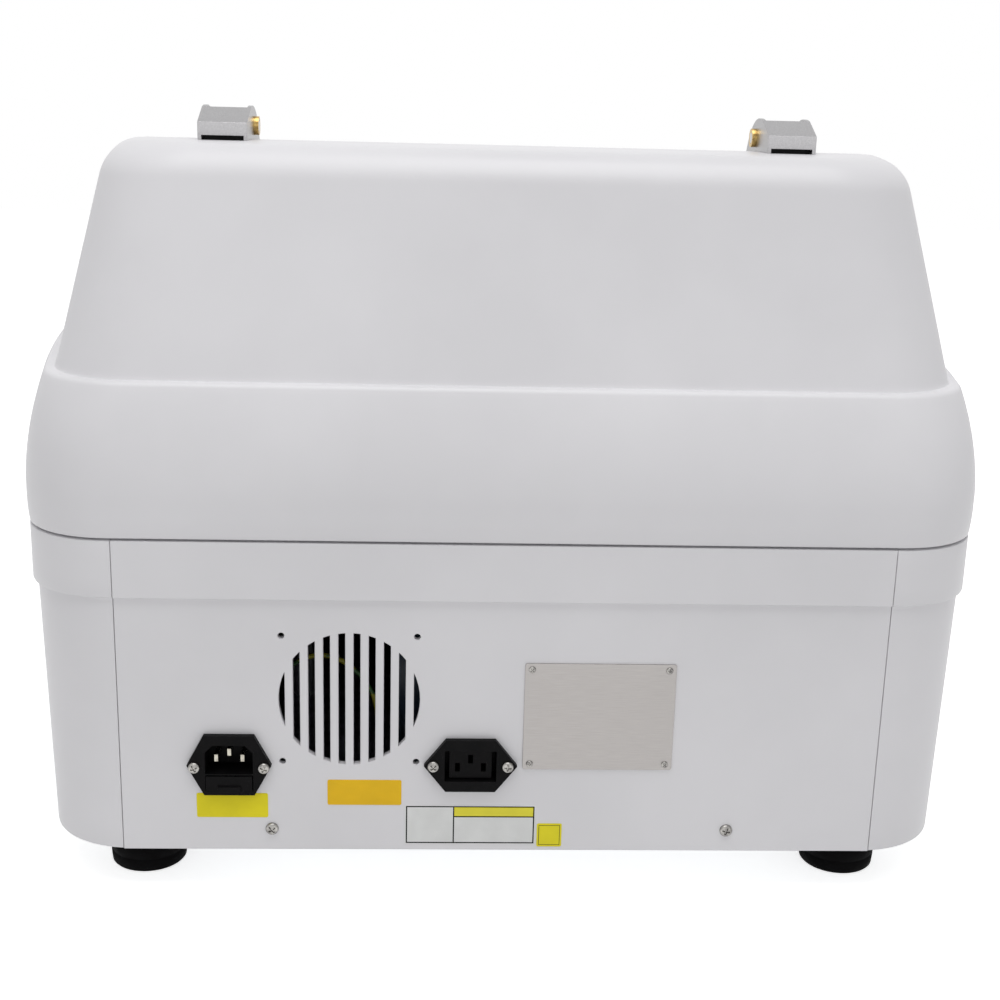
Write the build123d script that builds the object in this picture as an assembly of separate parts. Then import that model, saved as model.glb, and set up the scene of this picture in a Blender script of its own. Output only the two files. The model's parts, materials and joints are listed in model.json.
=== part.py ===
from build123d import *
import math
import os

# Lens grinding machine: a bench-top automatic edger for spectacle lenses.
# All sizes are in millimetres. +Z is up, the rear panel faces +Y and the operator stands at -Y,
# so the left side is the -X side. The origin is on the table, under the middle of the machine.
# A location named ..._u runs down a sloped face from its upper edge, and ..._w stands square out of it.

# Overall sizes
overall_width = 580.0
overall_depth = 630.0
rear_narrowing = 43.5
widest_y = -60.0
rear_corner_radius = 48.0
front_corner_radius = 85.0
foot_height = 27.0
foot_radius = 22.7
foot_side_setback = 91.0
foot_rear_setback = 43.0
foot_front_setback = 70.0
foot_taper = 2.0

# Clearances and the overrun of every cut
seat_gap = 0.3
running_gap = 0.05
sliding_gap = 0.4
seam_gap = 0.8
overrun = 6.0

# Casing walls, levels and insets from the widest outline
wall = 4.0
lower_height = 144.0
belt_height = 31.0
parting_gap = 1.6
rib_height = 9.0
bulge_height = 22.0
band_height = 78.0
dome_height = 117.4
bottom_side_inset = 7.0
ledge_side_inset = 3.4
lower_end_inset = 2.6
belt_inset = 0.8
shoulder_side_inset = 11.7
shoulder_end_inset = 17.0
shoulder_ledge = 5.6
dome_side_inset = 48.5
dome_end_inset = 60.0
dome_edge_radius = 24.0
shoulder_edge_radius = 2.2
rear_seam_setback = 42.2
front_seam_setback = 118.0

# Rear fittings, placed from the seam on the inlet's side and from the grille's centre line
inlet_seam_gap = 58.0
grille_inlet_spacing = 64.0
grille_centre_height = 88.0
grille_radius = 37.5
grille_slot_width = 3.7
grille_slot_pitch = 8.0
grille_slot_count = 10
fan_hole_spacing = 71.5
fan_hole_radius = 1.75
socket_flange = 3.5
socket_screw_radius = 3.2
socket_screw_head = 2.0
socket_thread_radius = 1.5
socket_thread_length = 12.0

# Slopes of the top: a flat strip, then the chamber cover's slope, then the console's
lid_slope = 14.0
console_slope = 27.0

# Places along the depth, as shares of it from the middle towards the rear
crest_share = 0.273
knee_share = -0.1635
rail_share = 0.2381
beam_shares = (0.0984, 0.1683)
chamber_shares = (-0.146, 0.1778)
spindle_share = -0.0397
lens_share = 0.0079
drain_share = 0.0952
nozzle_share = -0.1079

rear_corner_half = overall_width / 2 - rear_narrowing
rear_seam_half = rear_corner_half - rear_seam_setback
front_seam_half = overall_width / 2 - front_seam_setback
foot_half_spacing = overall_width / 2 - foot_side_setback
inlet_x = rear_seam_half - inlet_seam_gap
grille_centre_x = inlet_x - grille_inlet_spacing
crest_y = crest_share * overall_depth
knee_y = knee_share * overall_depth
rear_stand_out = socket_flange + socket_screw_head - lower_end_inset
rear_face_y = overall_depth / 2 - rear_stand_out
front_face_y = -overall_depth / 2
panel_y = rear_face_y - lower_end_inset
panel_inner_y = panel_y - wall
bottom_z = foot_height
ledge_z = bottom_z + lower_height
parting_z = ledge_z + belt_height
band_z = parting_z + parting_gap
bulge_z = band_z + bulge_height
shoulder_z = band_z + band_height
top_z = shoulder_z + dome_height
grille_z = bottom_z + grille_centre_height
knee_z = top_z - (crest_y - knee_y) * math.tan(math.radians(lid_slope))

parts = {}


# Helpers
def block(x, y, z):
    """Box between two limits along each axis."""
    size = [abs(limits[1] - limits[0]) for limits in (x, y, z)]
    middle = [(limits[0] + limits[1]) / 2 for limits in (x, y, z)]
    return Pos(*middle) * Box(*size)


def centred(middle, length):
    """Limits of a length round its middle."""
    return middle - length / 2, middle + length / 2


def rod(radius, start, end):
    """Cylinder between two points."""
    start, end = Vector(*start), Vector(*end)
    plane = Plane(origin=start, z_dir=end - start)
    return Solid.make_cylinder(radius, (end - start).length, plane)


def rod_x(radius, limits, y, z):
    """Cylinder along X."""
    return rod(radius, (limits[0], y, z), (limits[1], y, z))


def rod_y(radius, limits, x, z):
    """Cylinder along Y."""
    return rod(radius, (x, limits[0], z), (x, limits[1], z))


def rod_z(radius, limits, x, y):
    """Cylinder along Z."""
    return rod(radius, (x, y, limits[0]), (x, y, limits[1]))


def side_slab(points, limits):
    """Outline in the YZ plane, carried along X between two limits."""
    wire = Polyline(*[(limits[0], y, z) for y, z in points], close=True)
    return extrude(Face(Wire(wire.edges())), amount=limits[1] - limits[0], dir=(1, 0, 0))


def rear_slab(points, limits):
    """Outline in the XZ plane, carried along Y between two limits."""
    wire = Polyline(*[(x, limits[0], z) for x, z in points], close=True)
    return extrude(Face(Wire(wire.edges())), amount=limits[1] - limits[0], dir=(0, 1, 0))


def keep(name, shape):
    """Store one sub-part under its node name."""
    parts[name] = shape


def cluster(pieces):
    """Separate solids that share one node."""
    return Compound(children=[solid for piece in pieces for solid in piece.solids()])


# Plan outline: straight ends, bowed sides and round corners
def side_circle(inset):
    """Centre in X and radius of the circle that the bowed side follows."""
    drop = overall_width / 2 - rear_corner_half
    run = rear_face_y - widest_y
    radius = (drop**2 + run**2) / (2 * drop)
    return overall_width / 2 - radius, radius - inset


def outline(z, side_inset, rear_inset, front_inset):
    """Closed plan outline at one level, moved in from the widest one."""
    circle_x, radius = side_circle(side_inset)

    def corner(end_y, corner_radius):
        reach = radius - corner_radius
        x = circle_x + math.sqrt(reach**2 - (end_y - widest_y)**2)
        return x, end_y, math.atan2(end_y - widest_y, x - circle_x)

    def spot(x, y, distance, angle):
        return x + distance * math.cos(angle), y + distance * math.sin(angle), z

    quarter = math.pi / 2
    rear_x, rear_y, rear_turn = corner(rear_face_y - rear_inset - rear_corner_radius, rear_corner_radius)
    front_x, front_y, front_turn = corner(front_face_y + front_inset + front_corner_radius,
                                          front_corner_radius)
    chain = [
        spot(rear_x, rear_y, rear_corner_radius, quarter),
        spot(rear_x, rear_y, rear_corner_radius, (quarter + rear_turn) / 2),
        spot(rear_x, rear_y, rear_corner_radius, rear_turn),
        spot(circle_x, widest_y, radius, (rear_turn + front_turn) / 2),
        spot(front_x, front_y, front_corner_radius, front_turn),
        spot(front_x, front_y, front_corner_radius, (front_turn - quarter) / 2),
        spot(front_x, front_y, front_corner_radius, -quarter),
    ]
    other = [(-x, y, z) for x, y, z in reversed(chain)]
    edges = [ThreePointArc(*chain[0:3]), ThreePointArc(*chain[2:5]), ThreePointArc(*chain[4:7]),
             Line(chain[6], other[0]),
             ThreePointArc(*other[0:3]), ThreePointArc(*other[2:5]), ThreePointArc(*other[4:7]),
             Line(other[6], chain[0])]
    return Wire([edge for item in edges for edge in item.edges()])


def shell_between(levels, ruled=True):
    """Solid through plan outlines; a level is height, side inset, rear inset and front inset."""
    return Solid.make_loft([outline(*level) for level in levels], ruled)


# Lower casing: rear panel, front panel and two side shells that share one ring
def lower_solid(thickness, reach):
    """Tapered lower body; a thickness moves it in and a reach lengthens it at both ends."""
    end_inset = lower_end_inset + thickness
    return shell_between([(bottom_z - reach, bottom_side_inset + thickness, end_inset, end_inset),
                          (ledge_z, ledge_side_inset + thickness, end_inset, end_inset),
                          (parting_z + reach, ledge_side_inset + thickness, end_inset, end_inset)])


def lower_ring():
    tapered = shell_between([(bottom_z, bottom_side_inset, lower_end_inset, lower_end_inset),
                             (ledge_z, ledge_side_inset, lower_end_inset, lower_end_inset)])
    belt = shell_between([(ledge_z, belt_inset, belt_inset, belt_inset),
                          (parting_z, belt_inset, belt_inset, belt_inset)])
    rib_inset = belt_inset + wall + seat_gap
    rib = shell_between([(parting_z, rib_inset, rib_inset, rib_inset),
                         (parting_z + rib_height, rib_inset, rib_inset, rib_inset)])
    return tapered + belt + rib - lower_solid(wall, rib_height + overrun)


def lower_shells():
    ring = lower_ring()
    tall = (bottom_z - overrun, band_z + rib_height + overrun)
    rear = (0, overall_depth)
    front = (-overall_depth, 0)
    rear_panel = ring & block((-rear_seam_half, rear_seam_half), rear, tall)
    front_panel = ring & block((-front_seam_half, front_seam_half), front, tall)
    rear_cut = rear_seam_half + seam_gap
    front_cut = front_seam_half + seam_gap
    middle = block((-rear_cut, rear_cut), rear, tall) + block((-front_cut, front_cut), front, tall)
    sides = ring - middle
    left = sides & block((-overall_width, 0), (-overall_depth, overall_depth), tall)
    right = sides & block((0, overall_width), (-overall_depth, overall_depth), tall)
    return rear_panel, front_panel, left, right


# Power inlet, pump outlet, rating plate and stickers, all on the rear panel
inlet_drop = 37.3
inlet_width = 45.0
inlet_height = 34.2
inlet_top_width = 26.8
inlet_screw_half = 18.5
inlet_screw_rise = 1.0
inlet_body_width = 27.4
inlet_body_height = 30.6
inlet_body_depth = 27.0
inlet_cavity_width = 25.4
inlet_cavity_height = 16.4
inlet_cavity_depth = 15.0
inlet_cavity_rise = 3.5
inlet_cavity_bevel = 4.2
pin_width = 2.0
pin_length = 12.5
pin_tail = 9.0
pin_height = 4.0
pin_half_spacing = 7.0
earth_pin_rise = 3.4
drawer_width = 24.6
drawer_height = 8.6
drawer_depth = 20.0
drawer_drop = 10.2
drawer_lip = 2.6
drawer_lip_height = 3.0
drawer_stand_out = 0.8
fuse_radius = 2.6
fuse_length = 17.0
outlet_grille_spacing = 65.1
outlet_drop = 36.8
outlet_width = 50.2
outlet_height = 29.8
outlet_top_width = 26.8
outlet_screw_half = 20.0
outlet_body_width = 30.4
outlet_body_height = 20.4
outlet_body_depth = 24.0
outlet_island_width = 22.9
outlet_island_height = 15.6
outlet_groove_depth = 14.0
outlet_slot_width = 2.6
outlet_slot_height = 5.0
outlet_slot_half_spacing = 7.0
outlet_slot_drop = 1.6
outlet_earth_rise = 3.2
panel_screw_seam_gap = 80.1
panel_screw_rise = 12.4
panel_screw_radius = 3.5
panel_screw_head = 2.0
panel_thread_radius = 2.0
panel_thread_length = 12.0
plate_outlet_spacing = 68.5
plate_drop = 8.9
plate_width = 81.0
plate_height = 61.0
plate_thickness = 0.8
plate_screw_radius = 1.9
plate_screw_head = 0.9
plate_screw_half_x = 36.7
plate_screw_half_z = 27.2
label_thickness = 0.2
outlet_x = grille_centre_x - outlet_grille_spacing
plate_x = outlet_x - plate_outlet_spacing
panel_screw_half = rear_seam_half - panel_screw_seam_gap
# Each label: the middle of the fitting that it goes with, shift from it, drop, width and height
label_places = {
    "mains": (inlet_x, -1.0, 61.8, 38.3, 14.3),
    "pump": (grille_centre_x, -8.1, 53.9, 39.9, 14.8),
    "notice": (outlet_x, -0.5, 72.9, 71.4, 23.4),
    "earth": (outlet_x, -43.9, 78.9, 13.7, 13.9),
}
inlet_z = grille_z - inlet_drop
outlet_z = grille_z - outlet_drop
plate_z = grille_z - plate_drop
flange_y = panel_y + socket_flange


def socket_flange_points(x, z, width, height, top_width):
    """Six-sided flange with its tips at half height."""
    return [(x - width / 2, z), (x - top_width / 2, z + height / 2), (x + top_width / 2, z + height / 2),
            (x + width / 2, z), (x + top_width / 2, z - height / 2), (x - top_width / 2, z - height / 2)]


def socket_screw_places():
    inlet_screw_z = inlet_z - inlet_screw_rise
    return [(inlet_x - inlet_screw_half, inlet_screw_z), (inlet_x + inlet_screw_half, inlet_screw_z),
            (outlet_x - outlet_screw_half, outlet_z), (outlet_x + outlet_screw_half, outlet_z)]


def socket_screw_hole(place):
    return rod_y(socket_thread_radius + seat_gap, (panel_y - overrun, flange_y + overrun), *place)


def fan_hole_places():
    half = fan_hole_spacing / 2
    return [(grille_centre_x + i * half, grille_z + j * half) for i in (-1, 1) for j in (-1, 1)]


def plate_screw_places():
    return [(plate_x + i * plate_screw_half_x, plate_z + j * plate_screw_half_z)
            for i in (-1, 1) for j in (-1, 1)]


def grille_cut():
    through = (panel_inner_y - overrun, panel_y + overrun)
    disc = rod_y(grille_radius, through, grille_centre_x, grille_z)
    slots = []
    for number in range(grille_slot_count):
        offset = (number - (grille_slot_count - 1) / 2) * grille_slot_pitch
        slots.append(block(centred(grille_centre_x + offset, grille_slot_width), through,
                           centred(grille_z, grille_radius * 2)) & disc)
    return slots


def cut_rear_panel(panel):
    through = (panel_inner_y - overrun, panel_y + overrun)
    inlet_hole = block(centred(inlet_x, inlet_body_width + 2 * seat_gap), through,
                       centred(inlet_z, inlet_body_height + 2 * seat_gap))
    outlet_hole = block(centred(outlet_x, outlet_body_width + 2 * seat_gap), through,
                        centred(outlet_z, outlet_body_height + 2 * seat_gap))
    holes = [rod_y(fan_hole_radius, through, x, z) for x, z in fan_hole_places()]
    holes += [rod_y(socket_thread_radius + seat_gap, through, x, z) for x, z in socket_screw_places()]
    panel_screw_z = bottom_z + panel_screw_rise
    holes += [rod_y(panel_thread_radius + seat_gap, through, i * panel_screw_half, panel_screw_z)
              for i in (-1, 1)]
    for cut in [inlet_hole, outlet_hole] + holes + grille_cut():
        panel = panel - cut
    return panel


def make_inlet():
    flange = rear_slab(socket_flange_points(inlet_x, inlet_z, inlet_width, inlet_height, inlet_top_width),
                       (panel_y, flange_y))
    body = block(centred(inlet_x, inlet_body_width), (panel_y - inlet_body_depth, panel_y),
                 centred(inlet_z, inlet_body_height))
    low = inlet_z + inlet_cavity_rise - inlet_cavity_height / 2
    high = inlet_z + inlet_cavity_rise + inlet_cavity_height / 2
    half = inlet_cavity_width / 2
    points = [(inlet_x - half, low), (inlet_x + half, low), (inlet_x + half, high - inlet_cavity_bevel),
              (inlet_x + half - inlet_cavity_bevel, high), (inlet_x - half + inlet_cavity_bevel, high),
              (inlet_x - half, high - inlet_cavity_bevel)]
    cavity_floor_y = flange_y - inlet_cavity_depth
    cavity = rear_slab(points, (cavity_floor_y, flange_y + overrun))
    drawer_z = inlet_z - drawer_drop
    drawer_hole = block(centred(inlet_x, drawer_width + 2 * sliding_gap),
                        (flange_y - drawer_depth - sliding_gap, flange_y + overrun),
                        centred(drawer_z, drawer_height + 2 * sliding_gap))
    shape = flange + body - cavity - drawer_hole
    for place in socket_screw_places()[:2]:
        shape = shape - socket_screw_hole(place)
    pins = []
    pin_z = inlet_z + inlet_cavity_rise
    pin_y = (cavity_floor_y - pin_tail, cavity_floor_y + pin_length)
    for x, z in [(-pin_half_spacing, 0), (pin_half_spacing, 0), (0, earth_pin_rise)]:
        sides = (centred(inlet_x + x, pin_width), centred(pin_z + z, pin_height))
        pins.append(block(sides[0], pin_y, sides[1]))
        shape = shape - block(centred(inlet_x + x, pin_width + 2 * running_gap),
                              (pin_y[0] - overrun - inlet_body_depth, pin_y[1]),
                              centred(pin_z + z, pin_height + 2 * running_gap))
    keep("inlet_body", shape)
    keep("inlet_pins", cluster(pins))
    front = flange_y + drawer_stand_out
    drawer = block(centred(inlet_x, drawer_width), (flange_y - drawer_depth, front),
                   centred(drawer_z, drawer_height))
    lip = block(centred(inlet_x, drawer_width / 2), (front, front + socket_screw_head - drawer_stand_out),
                (drawer_z - drawer_height / 2, drawer_z - drawer_height / 2 + drawer_lip_height))
    fuse_y = (flange_y - drawer_depth + drawer_lip, flange_y - drawer_depth + drawer_lip + fuse_length)
    bed = block(centred(inlet_x, 2 * (fuse_radius + seat_gap)),
                (fuse_y[0] - seat_gap, fuse_y[1] + seat_gap),
                (drawer_z - fuse_radius - seat_gap, drawer_z + drawer_height))
    keep("fuse_drawer", drawer + lip - bed)
    keep("fuse", rod_y(fuse_radius, fuse_y, inlet_x, drawer_z))


def make_outlet():
    flange = rear_slab(socket_flange_points(outlet_x, outlet_z, outlet_width, outlet_height,
                                            outlet_top_width), (panel_y, flange_y))
    body = block(centred(outlet_x, outlet_body_width), (panel_y - outlet_body_depth, panel_y),
                 centred(outlet_z, outlet_body_height))
    opening_width = outlet_body_width - outlet_slot_width
    opening_height = outlet_body_height - outlet_slot_width
    groove_y = (flange_y - outlet_groove_depth, flange_y + overrun)
    groove = block(centred(outlet_x, opening_width), groove_y, centred(outlet_z, opening_height))
    island_y = (flange_y - outlet_groove_depth - overrun, flange_y - outlet_slot_width)
    island = block(centred(outlet_x, outlet_island_width), island_y,
                   centred(outlet_z, outlet_island_height))
    shape = flange + body - groove + island
    line_x = outlet_slot_half_spacing
    for x, z in [(-line_x, -outlet_slot_drop), (line_x, -outlet_slot_drop), (0, outlet_earth_rise)]:
        shape = shape - block(centred(outlet_x + x, outlet_slot_width), groove_y,
                              centred(outlet_z + z, outlet_slot_height))
    for place in socket_screw_places()[2:]:
        shape = shape - socket_screw_hole(place)
    keep("outlet_body", shape)


def make_rear_fittings():
    screws = []
    for x, z in socket_screw_places():
        screws.append(rod_y(socket_screw_radius, (flange_y, flange_y + socket_screw_head), x, z)
                      + rod_y(socket_thread_radius, (flange_y - socket_thread_length, flange_y), x, z))
    for side in (-1, 1):
        x, z = side * panel_screw_half, bottom_z + panel_screw_rise
        screws.append(rod_y(panel_screw_radius, (panel_y, panel_y + panel_screw_head), x, z)
                      + rod_y(panel_thread_radius, (panel_y - panel_thread_length, panel_y), x, z))
    plate_y = panel_y + plate_thickness
    screws += [rod_y(plate_screw_radius, (plate_y, plate_y + plate_screw_head), x, z)
               for x, z in plate_screw_places()]
    keep("rear_screws", cluster(screws))
    keep("rating_plate", block(centred(plate_x, plate_width), (panel_y, plate_y),
                               centred(plate_z, plate_height)))
    keep("rear_labels", cluster([block(centred(x + shift, width), (panel_y, panel_y + label_thickness),
                                       centred(grille_z - drop, height))
                                 for x, shift, drop, width, height in label_places.values()]))


# Upper cover: a bulged band, a narrow shoulder and a leaning dome with two sloped faces in front
def dome_insets(z):
    """Side and end inset of the leaning dome at one height."""
    share = (z - shoulder_z) / dome_height
    foot_side = shoulder_side_inset + shoulder_ledge
    foot_end = shoulder_end_inset + shoulder_ledge
    side = foot_side + share * (dome_side_inset - foot_side)
    return side, foot_end + share * (dome_end_inset - foot_end)


def dome_solid(low, high, thickness, edge_radius):
    levels = []
    for z in (low, high):
        side, end = dome_insets(z)
        levels.append((z, side + thickness, end + thickness, end + thickness))
    solid = shell_between(levels)
    return fillet(solid.edges().group_by(Axis.Z)[-1], edge_radius)


def band_solid(low, high, thickness):
    shoulder = (high, shoulder_side_inset + thickness, shoulder_end_inset + thickness,
                shoulder_end_inset + thickness)
    belt = belt_inset + thickness
    bulge = (bulge_z, thickness, thickness, thickness)
    return shell_between([(low, belt, belt, belt), bulge, shoulder], False)


def slope_points(shift):
    """Side view of everything above the two sloped faces, moved square to them by a shift."""
    lean, tip = math.radians(lid_slope), math.radians(console_slope)
    crest = (crest_y + shift * math.tan(lean / 2), top_z + shift)
    turn = (lean + tip) / 2
    reach = shift / math.cos((tip - lean) / 2)
    knee = (knee_y - reach * math.sin(turn), knee_z + reach * math.cos(turn))
    end_y = front_face_y - overrun
    end = (end_y, knee[1] - (knee[0] - end_y) * math.tan(tip))
    above = top_z + overrun
    return [(crest_y + overrun, crest[1]), crest, knee, end, (end_y, above), (crest_y + overrun, above)]


def slope_cut(shift):
    return side_slab(slope_points(shift), (-overall_width, overall_width))


def sloped_plane(y, z, slope):
    lean = math.radians(slope)
    return Plane(origin=(0, y, z), x_dir=(1, 0, 0), z_dir=(0, -math.sin(lean), math.cos(lean)))


lid_plane = sloped_plane(crest_y, top_z, lid_slope)
console_plane = sloped_plane(knee_y, knee_z, console_slope)


def sloped_block(plane, x, u, w):
    """Box on a sloped face: x across, u down the slope, w out of the face."""
    return block(x, (-u[1], -u[0]), w).moved(plane.location)


def sloped_rod(plane, radius, x, u, w):
    """Cylinder square to a sloped face."""
    return rod_z(radius, w, x, -u).moved(plane.location)


# Chamber opening in the sloped top and the cover that closes it
chamber_opening_side_margin = 40.0
chamber_opening_front_margin = 18.0
chamber_opening_start_u = 68.0
gasket_width = 9.0
gasket_height = 1.7
lid_side_setback = 106.0
lid_start_u = 34.0
lid_knee_gap = 13.4
lid_edge_gap = 2.0
lid_height = 12.0
lid_corner_radius = 24.0
grip_half = 52.0
grip_setback = 20.0
grip_width = 12.0
grip_height = 9.0
grip_radius = 5.0
window_side_margin = 36.0
window_front_margin = 44.0
window_start_u = 84.0
window_seat = 6.0
window_thickness = 3.0
window_corner_radius = 14.0
lid_half = overall_width / 2 - lid_side_setback
lid_end_u = (crest_y - knee_y) / math.cos(math.radians(lid_slope)) - lid_knee_gap
window_half = lid_half - window_side_margin
window_end_u = lid_end_u - window_front_margin
chamber_opening_half = lid_half - chamber_opening_side_margin
chamber_opening_end_u = lid_end_u - chamber_opening_front_margin

# Hinge brackets of the chamber cover
bracket_lid_setback = 27.0
bracket_width = 27.0
bracket_sheet = 2.0
bracket_crest_setback = 32.5
bracket_length = 62.0
bracket_roof_length = 19.0
bracket_rear_height = 9.6
bracket_roof_height = 17.4
bracket_lip = 7.0
bracket_depth = 18.0
bracket_bow_share = 0.25
bracket_bow_fall_share = 0.33
pivot_drop_y = 36.0
pivot_height = 7.2
hinge_pin_radius = 3.0
bush_radius = 5.2
bush_length = 2.6
knuckle_radius = 6.6
arm_thickness = 5.0
arm_length = 70.0
arm_screw_setback = 9.0
arm_screw_height = 1.8
arm_gap = 0.8
arm_screw_radius = 3.0
bracket_half_spacing = lid_half - bracket_lid_setback
bracket_rear_y = crest_y + bracket_crest_setback
pivot_y = bracket_rear_y - pivot_drop_y
pivot_z = top_z + pivot_height
hinge_block_length = 17.0
hinge_block_setback = 5.0
hinge_block_height = 7.0


def top_height(y):
    """Height of the cover's top face behind the knee."""
    if y > crest_y:
        return top_z
    return top_z - (crest_y - y) * math.tan(math.radians(lid_slope))


def lid_well_u():
    return lid_start_u - lid_edge_gap, lid_end_u + lid_edge_gap


def make_upper_cover():
    inner_top = top_z - wall
    inner_shoulder = shoulder_z - wall
    outer = band_solid(band_z, shoulder_z, 0)
    outer = fillet(outer.edges().group_by(Axis.Z)[-1], shoulder_edge_radius)
    outer = outer + dome_solid(shoulder_z - wall, top_z, 0, dome_edge_radius)
    outer = outer - slope_cut(0)
    inner = band_solid(band_z - overrun, inner_shoulder, wall)
    inner = inner + dome_solid(inner_shoulder - wall, inner_top, wall, dome_edge_radius - wall)
    inner = inner - slope_cut(-wall)
    opening = rounded_slab(lid_plane, lid_half + lid_edge_gap, lid_well_u(), (-wall - overrun, overrun),
                           lid_corner_radius + lid_edge_gap)
    cover = outer - inner - opening
    for cut in console_cuts():
        cover = cover - cut
    keep("upper_cover", cover)


def gasket_frame(w):
    """Sealing strip round the opening."""
    half = chamber_opening_half + gasket_width
    start, end = chamber_opening_start_u - gasket_width, chamber_opening_end_u + gasket_width
    strip = sloped_block(lid_plane, (-half - gasket_width, half + gasket_width),
                         (start - gasket_width, end + gasket_width), w)
    return strip - sloped_block(lid_plane, (-half, half), (start, end), (w[0] - overrun, w[1] + overrun))


def rounded_slab(plane, half, u, w, radius):
    """Plate on a sloped face with round corners."""
    plate = block((-half, half), (-u[1], -u[0]), w)
    return fillet(plate.edges().filter_by(Axis.Z), radius).moved(plane.location)


def make_chamber_cover():
    low_w = -lid_height
    seat_w = low_w - seat_gap - gasket_height
    keep("opening_gasket", gasket_frame((seat_w, seat_w + gasket_height)))
    frame = rounded_slab(lid_plane, lid_half, (lid_start_u, lid_end_u), (low_w, 0), lid_corner_radius)
    grip_u = (lid_end_u - grip_setback - grip_width, lid_end_u - grip_setback)
    frame = frame + rounded_slab(lid_plane, grip_half, grip_u, (low_w, grip_height), grip_radius)
    hole_u = (window_start_u + window_seat, window_end_u - window_seat)
    hole = rounded_slab(lid_plane, window_half - window_seat, hole_u, (low_w - overrun, overrun),
                        window_corner_radius - window_seat)
    rebate_w = -window_thickness
    rebate_u = (window_start_u - seat_gap, window_end_u + seat_gap)
    rebate = rounded_slab(lid_plane, window_half + seat_gap, rebate_u, (rebate_w, overrun),
                          window_corner_radius + seat_gap)
    frame = frame - hole - rebate
    arms = []
    brackets = []
    pins = []
    bushes = []
    blocks = []
    arm_half = bracket_width / 2 - bracket_sheet - arm_gap
    slope = math.radians(lid_slope)
    pivot_u = (crest_y - pivot_y) * math.cos(slope) - pivot_height * math.sin(slope)
    arm_w = (seat_gap, seat_gap + arm_thickness)
    for side in (-1, 1):
        x = side * bracket_half_spacing
        arm = (sloped_block(lid_plane, centred(x, 2 * arm_half), (pivot_u, pivot_u + arm_length), arm_w)
               + rod_x(knuckle_radius, centred(x, 2 * arm_half), pivot_y, pivot_z)
               - rod_x(hinge_pin_radius + running_gap, centred(x, bracket_width), pivot_y, pivot_z))
        screw_w = (arm_w[1], arm_w[1] + arm_screw_height)
        for u in (lid_start_u + arm_screw_setback, pivot_u + arm_length - arm_screw_setback):
            arm = arm + sloped_rod(lid_plane, arm_screw_radius, x, u, screw_w)
        arms.append(arm)
        brackets.append(hinge_bracket(x))
        pin_x = centred(x, bracket_width + 2 * bush_length)
        pins.append(rod_x(hinge_pin_radius, pin_x, pivot_y, pivot_z))
        for outward in (-1, 1):
            start = x + outward * bracket_width / 2
            ring_x = sorted((start, start + outward * bush_length))
            bushes.append(rod_x(bush_radius, ring_x, pivot_y, pivot_z)
                          - rod_x(hinge_pin_radius + running_gap, ring_x, pivot_y, pivot_z))
        block_y = (bracket_rear_y - hinge_block_setback - hinge_block_length,
                   bracket_rear_y - hinge_block_setback)
        blocks.append(block(centred(x, bracket_width - 2 * bracket_sheet), block_y,
                            (top_z, top_z + hinge_block_height)))
    keep("lid_frame", frame)
    keep("lid_window", rounded_slab(lid_plane, window_half, (window_start_u, window_end_u),
                                    (rebate_w, 0), window_corner_radius))
    keep("lid_arms", cluster(arms))
    keep("hinge_brackets", cluster(brackets))
    keep("hinge_pins", cluster(pins))
    keep("hinge_bushes", cluster(bushes))
    keep("hinge_blocks", cluster(blocks))


def hinge_bracket(x):
    """Bent steel channel: two cheeks, a rising roof and a short rear lip, open at the front."""
    front_y = bracket_rear_y - bracket_length
    roof_end_y = bracket_rear_y - bracket_roof_length
    rear_top = top_z + bracket_rear_height
    roof_top = top_z + bracket_roof_height
    low_z = top_z - bracket_depth
    middle_y = front_y + (roof_end_y - front_y) * bracket_bow_share
    middle_z = roof_top - (roof_top - top_height(front_y)) * bracket_bow_fall_share
    base = [(bracket_rear_y, top_z), (crest_y, top_z), (front_y, top_height(front_y))]
    edges = [Line((0, *base[0]), (0, *base[1])), Line((0, *base[1]), (0, *base[2])),
             ThreePointArc((0, *base[2]), (0, middle_y, middle_z), (0, roof_end_y, roof_top)),
             Line((0, roof_end_y, roof_top), (0, bracket_rear_y, rear_top)),
             Line((0, bracket_rear_y, rear_top), (0, *base[0]))]
    side = Face(Wire([edge for item in edges for edge in item.edges()]))
    solid = extrude(side, amount=bracket_width, dir=(1, 0, 0))
    solid = solid.moved(Location((x - bracket_width / 2, 0, 0)))
    inside = centred(x, bracket_width - 2 * bracket_sheet)
    fall = (roof_top - rear_top) / bracket_roof_length
    under_rear = rear_top - bracket_sheet
    hollow = side_slab([(bracket_rear_y - bracket_sheet, low_z),
                        (bracket_rear_y - bracket_sheet, under_rear + fall * bracket_sheet),
                        (roof_end_y, roof_top - bracket_sheet), (roof_end_y, roof_top + overrun),
                        (front_y - overrun, roof_top + overrun), (front_y - overrun, low_z)],
                       inside)
    mouth = side_slab([(bracket_rear_y - bracket_sheet - overrun, low_z),
                       (bracket_rear_y + overrun, low_z),
                       (bracket_rear_y + overrun, rear_top - bracket_lip),
                       (bracket_rear_y - bracket_sheet - overrun, rear_top - bracket_lip)], inside)
    hole = rod_x(hinge_pin_radius + running_gap, centred(x, bracket_width + overrun), pivot_y, pivot_z)
    return solid - hollow - mouth - hole


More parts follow.
